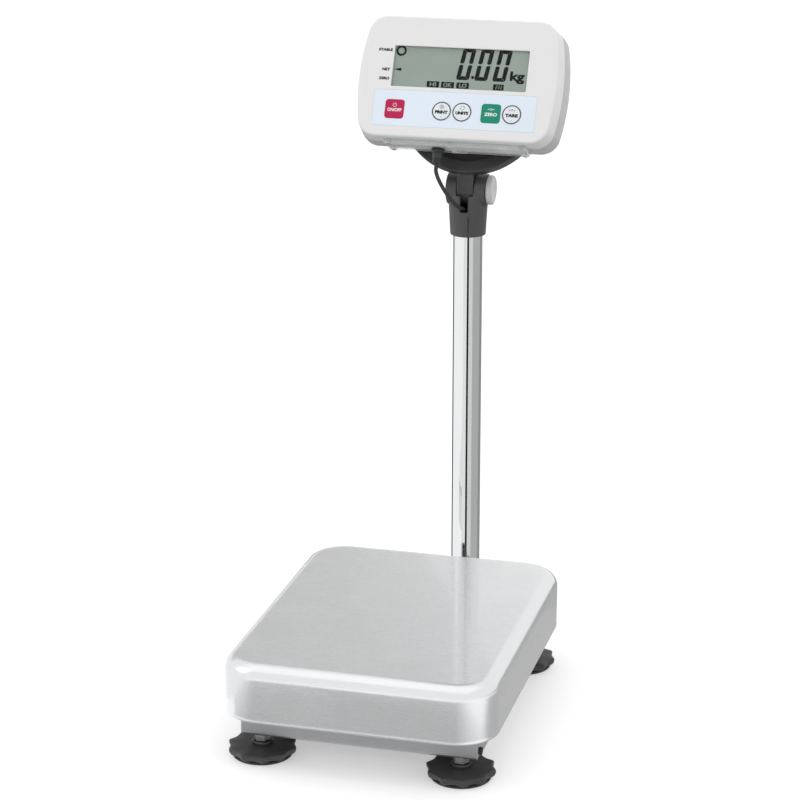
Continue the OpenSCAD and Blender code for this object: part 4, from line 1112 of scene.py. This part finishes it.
# ---- floor, light and camera ----
def plain(name, color, strength=None, rough=0.6, glow=0.0):
    mat = bpy.data.materials.new(name)
    mat.use_nodes = True
    nodes = mat.node_tree.nodes
    if strength is None:
        bsdf = nodes["Principled BSDF"]
        bsdf.inputs["Base Color"].default_value = (*color, 1)
        bsdf.inputs["Roughness"].default_value = rough
        bsdf.inputs["Emission Color"].default_value = (1, 1, 1, 1)
        bsdf.inputs["Emission Strength"].default_value = glow
    else:
        nodes.clear()
        out = nodes.new("ShaderNodeOutputMaterial")
        glow = nodes.new("ShaderNodeEmission")
        glow.inputs["Color"].default_value = (*color, 1)
        glow.inputs["Strength"].default_value = strength
        mat.node_tree.links.new(glow.outputs[0], out.inputs["Surface"])
    return mat


def stage_mesh(name, verts, faces, mat):
    mesh = bpy.data.meshes.new(name)
    mesh.from_pydata(verts, [], faces)
    mesh.materials.append(mat)
    obj = bpy.data.objects.new(name, mesh)
    SCENE.collection.objects.link(obj)
    return obj


stage_mesh("floor", [(-30, -30, 0), (30, -30, 0), (30, 30, 0), (-30, 30, 0)], [(0, 1, 2, 3)],
           plain("floor_pale", (0.70, 0.70, 0.70), glow=0.38))

CAMERA_AT = Vector((0.74636, -2.88570, 1.31267))
VIEW_DEG, DOWN_DEG, LENS_MM = 14.891, 17.552, 114.84


def reflection_card(name, verts, faces, mat):
    """A card that only reflections see."""
    card = stage_mesh(name, verts, faces, mat)
    for ray in ("camera", "diffuse", "transmission", "volume_scatter", "shadow"):
        setattr(card, "visible_" + ray, False)
    return card


def inward(name, grey):
    """A glow seen from the card's front only."""
    mat = plain(name, (1, 1, 1), grey)
    tree = mat.node_tree
    glow = [n for n in tree.nodes if n.type == "EMISSION"][0]
    out = [n for n in tree.nodes if n.type == "OUTPUT_MATERIAL"][0]
    clear = tree.nodes.new("ShaderNodeBsdfTransparent")
    side = tree.nodes.new("ShaderNodeNewGeometry")
    mix = tree.nodes.new("ShaderNodeMixShader")
    tree.links.new(side.outputs["Backfacing"], mix.inputs[0])
    tree.links.new(glow.outputs[0], mix.inputs[1])
    tree.links.new(clear.outputs[0], mix.inputs[2])
    tree.links.new(mix.outputs[0], out.inputs["Surface"])
    return mat


# Studio cards round the tube: where each starts, in degrees to the right of the camera, and
# its tone. Merged and rounded from bands that were read off the photo.
CARDS = ((-180, 0.1), (-135, 1.0), (-35, 0.85), (-7, 0.01), (8, 0.7), (40, 0.45), (110, 0.3))


def mirrored(angle, distance):
    """Where the tube's reflection at this angle lands, a distance away from its surface."""
    a, half = math.radians(-90 + VIEW_DEG + angle), math.radians(-90 + VIEW_DEG + angle / 2)
    return (POLE_X + (POLE_R + MM) * math.cos(half) + distance * math.cos(a),
            POLE_Y + (POLE_R + MM) * math.sin(half) + distance * math.sin(a))


def pole_cards():
    """One-sided cards round the tube: upright ones in front, level ones beside and behind it."""
    steps, low, high, level, reach = 6, 0.03, 0.53, 0.06, 1.95
    for i, ((start, grey), (end, _)) in enumerate(zip(CARDS, CARDS[1:] + ((180, 0),))):
        upright = start >= -35 and end <= 40
        verts = []
        for k in range(steps + 1):
            angle = start + (end - start) * k / steps
            if upright:
                x, y = mirrored(angle, 113 * MM)
                verts += [(x, y, low), (x, y, high)]
            else:
                verts += [(*mirrored(angle, 0.0), level), (*mirrored(angle, reach), level)]
        faces = [(2 * k, 2 * k + 1, 2 * k + 3, 2 * k + 2) for k in range(steps)]
        reflection_card(f"card_tube_{i}", verts, faces, inward(f"card_tube_{i}", grey))


pole_cards()


def skirt_cards():
    """Grey floor that the skirt of the pan mirrors: layers that darken towards the middle."""
    for layer, grey in enumerate((0.86, 0.74, 0.62, 0.50)):
        grow, z = 0.045 * (3 - layer), (2 + 0.2 * layer) * MM
        verts = [(x, y, z) for x, y in (
            (-0.22 - grow, -0.30), (-0.22 - grow, -0.64 - grow), (0.17 + grow, -0.64 - grow),
            (0.17 + grow, -0.30), (0.45 + grow, -0.20), (0.45 + grow, 0.60 + grow),
            (0.13, 0.60 + grow), (0.13, -0.30))]
        reflection_card(f"card_floor_{layer}", verts, [tuple(range(len(verts)))],
                        plain(f"card_floor_{layer}", (1, 1, 1), grey))


skirt_cards()
# A dim patch high behind, which the front and left of the pan mirror
reflection_card("card_sky", [(-3.6, 1.5, 1.6), (-3.6, 9.1, 1.6), (0.2, 1.5, 1.6)], [(0, 1, 2)],
                inward("card_sky", 0.62))
# The room's floor is a little dimmer than the pale backdrop; only diffuse light sees it
ROOM = ((-8, -8), (8, -8), (8, 8), (-8, 8))
bounce = reflection_card("card_bounce", [(x, y, 0.16) for x, y in ROOM],
                         [(0, 1, 2, 3)], inward("card_bounce", 0.52))
bounce.visible_diffuse = True
bounce.visible_glossy = False

world = bpy.data.worlds.new("studio")
SCENE.world = world
world.use_nodes = True
world.node_tree.nodes["Background"].inputs["Color"].default_value = (1, 1, 1, 1)
world.node_tree.nodes["Background"].inputs["Strength"].default_value = 1.0


def soft_light(name, place, aim, size, power):
    lamp = bpy.data.lights.new(name, "AREA")
    lamp.shape = "RECTANGLE"
    lamp.size, lamp.size_y = size
    lamp.energy = power
    obj = bpy.data.objects.new(name, lamp)
    SCENE.collection.objects.link(obj)
    obj.location = place
    obj.rotation_euler = (Vector(aim) - Vector(place)).to_track_quat("-Z", "Y").to_euler()


soft_light("key", (-2.4, -1.2, 1.9), (0, 0, 0.4), (1.6, 1.8), 5)
soft_light("top", (0.0, -0.4, 3.0), (0, 0, 0.2), (4.0, 3.0), 8)

camera = bpy.data.objects.new("camera", bpy.data.cameras.new("camera"))
SCENE.collection.objects.link(camera)
camera.location = CAMERA_AT
camera.rotation_euler = (math.radians(90 - DOWN_DEG), 0, math.radians(VIEW_DEG))
camera.data.lens = LENS_MM
camera.data.sensor_width = 36
camera.data.clip_start = 0.05
camera.data.clip_end = 100
SCENE.camera = camera
SCENE.view_settings.view_transform = "Standard"
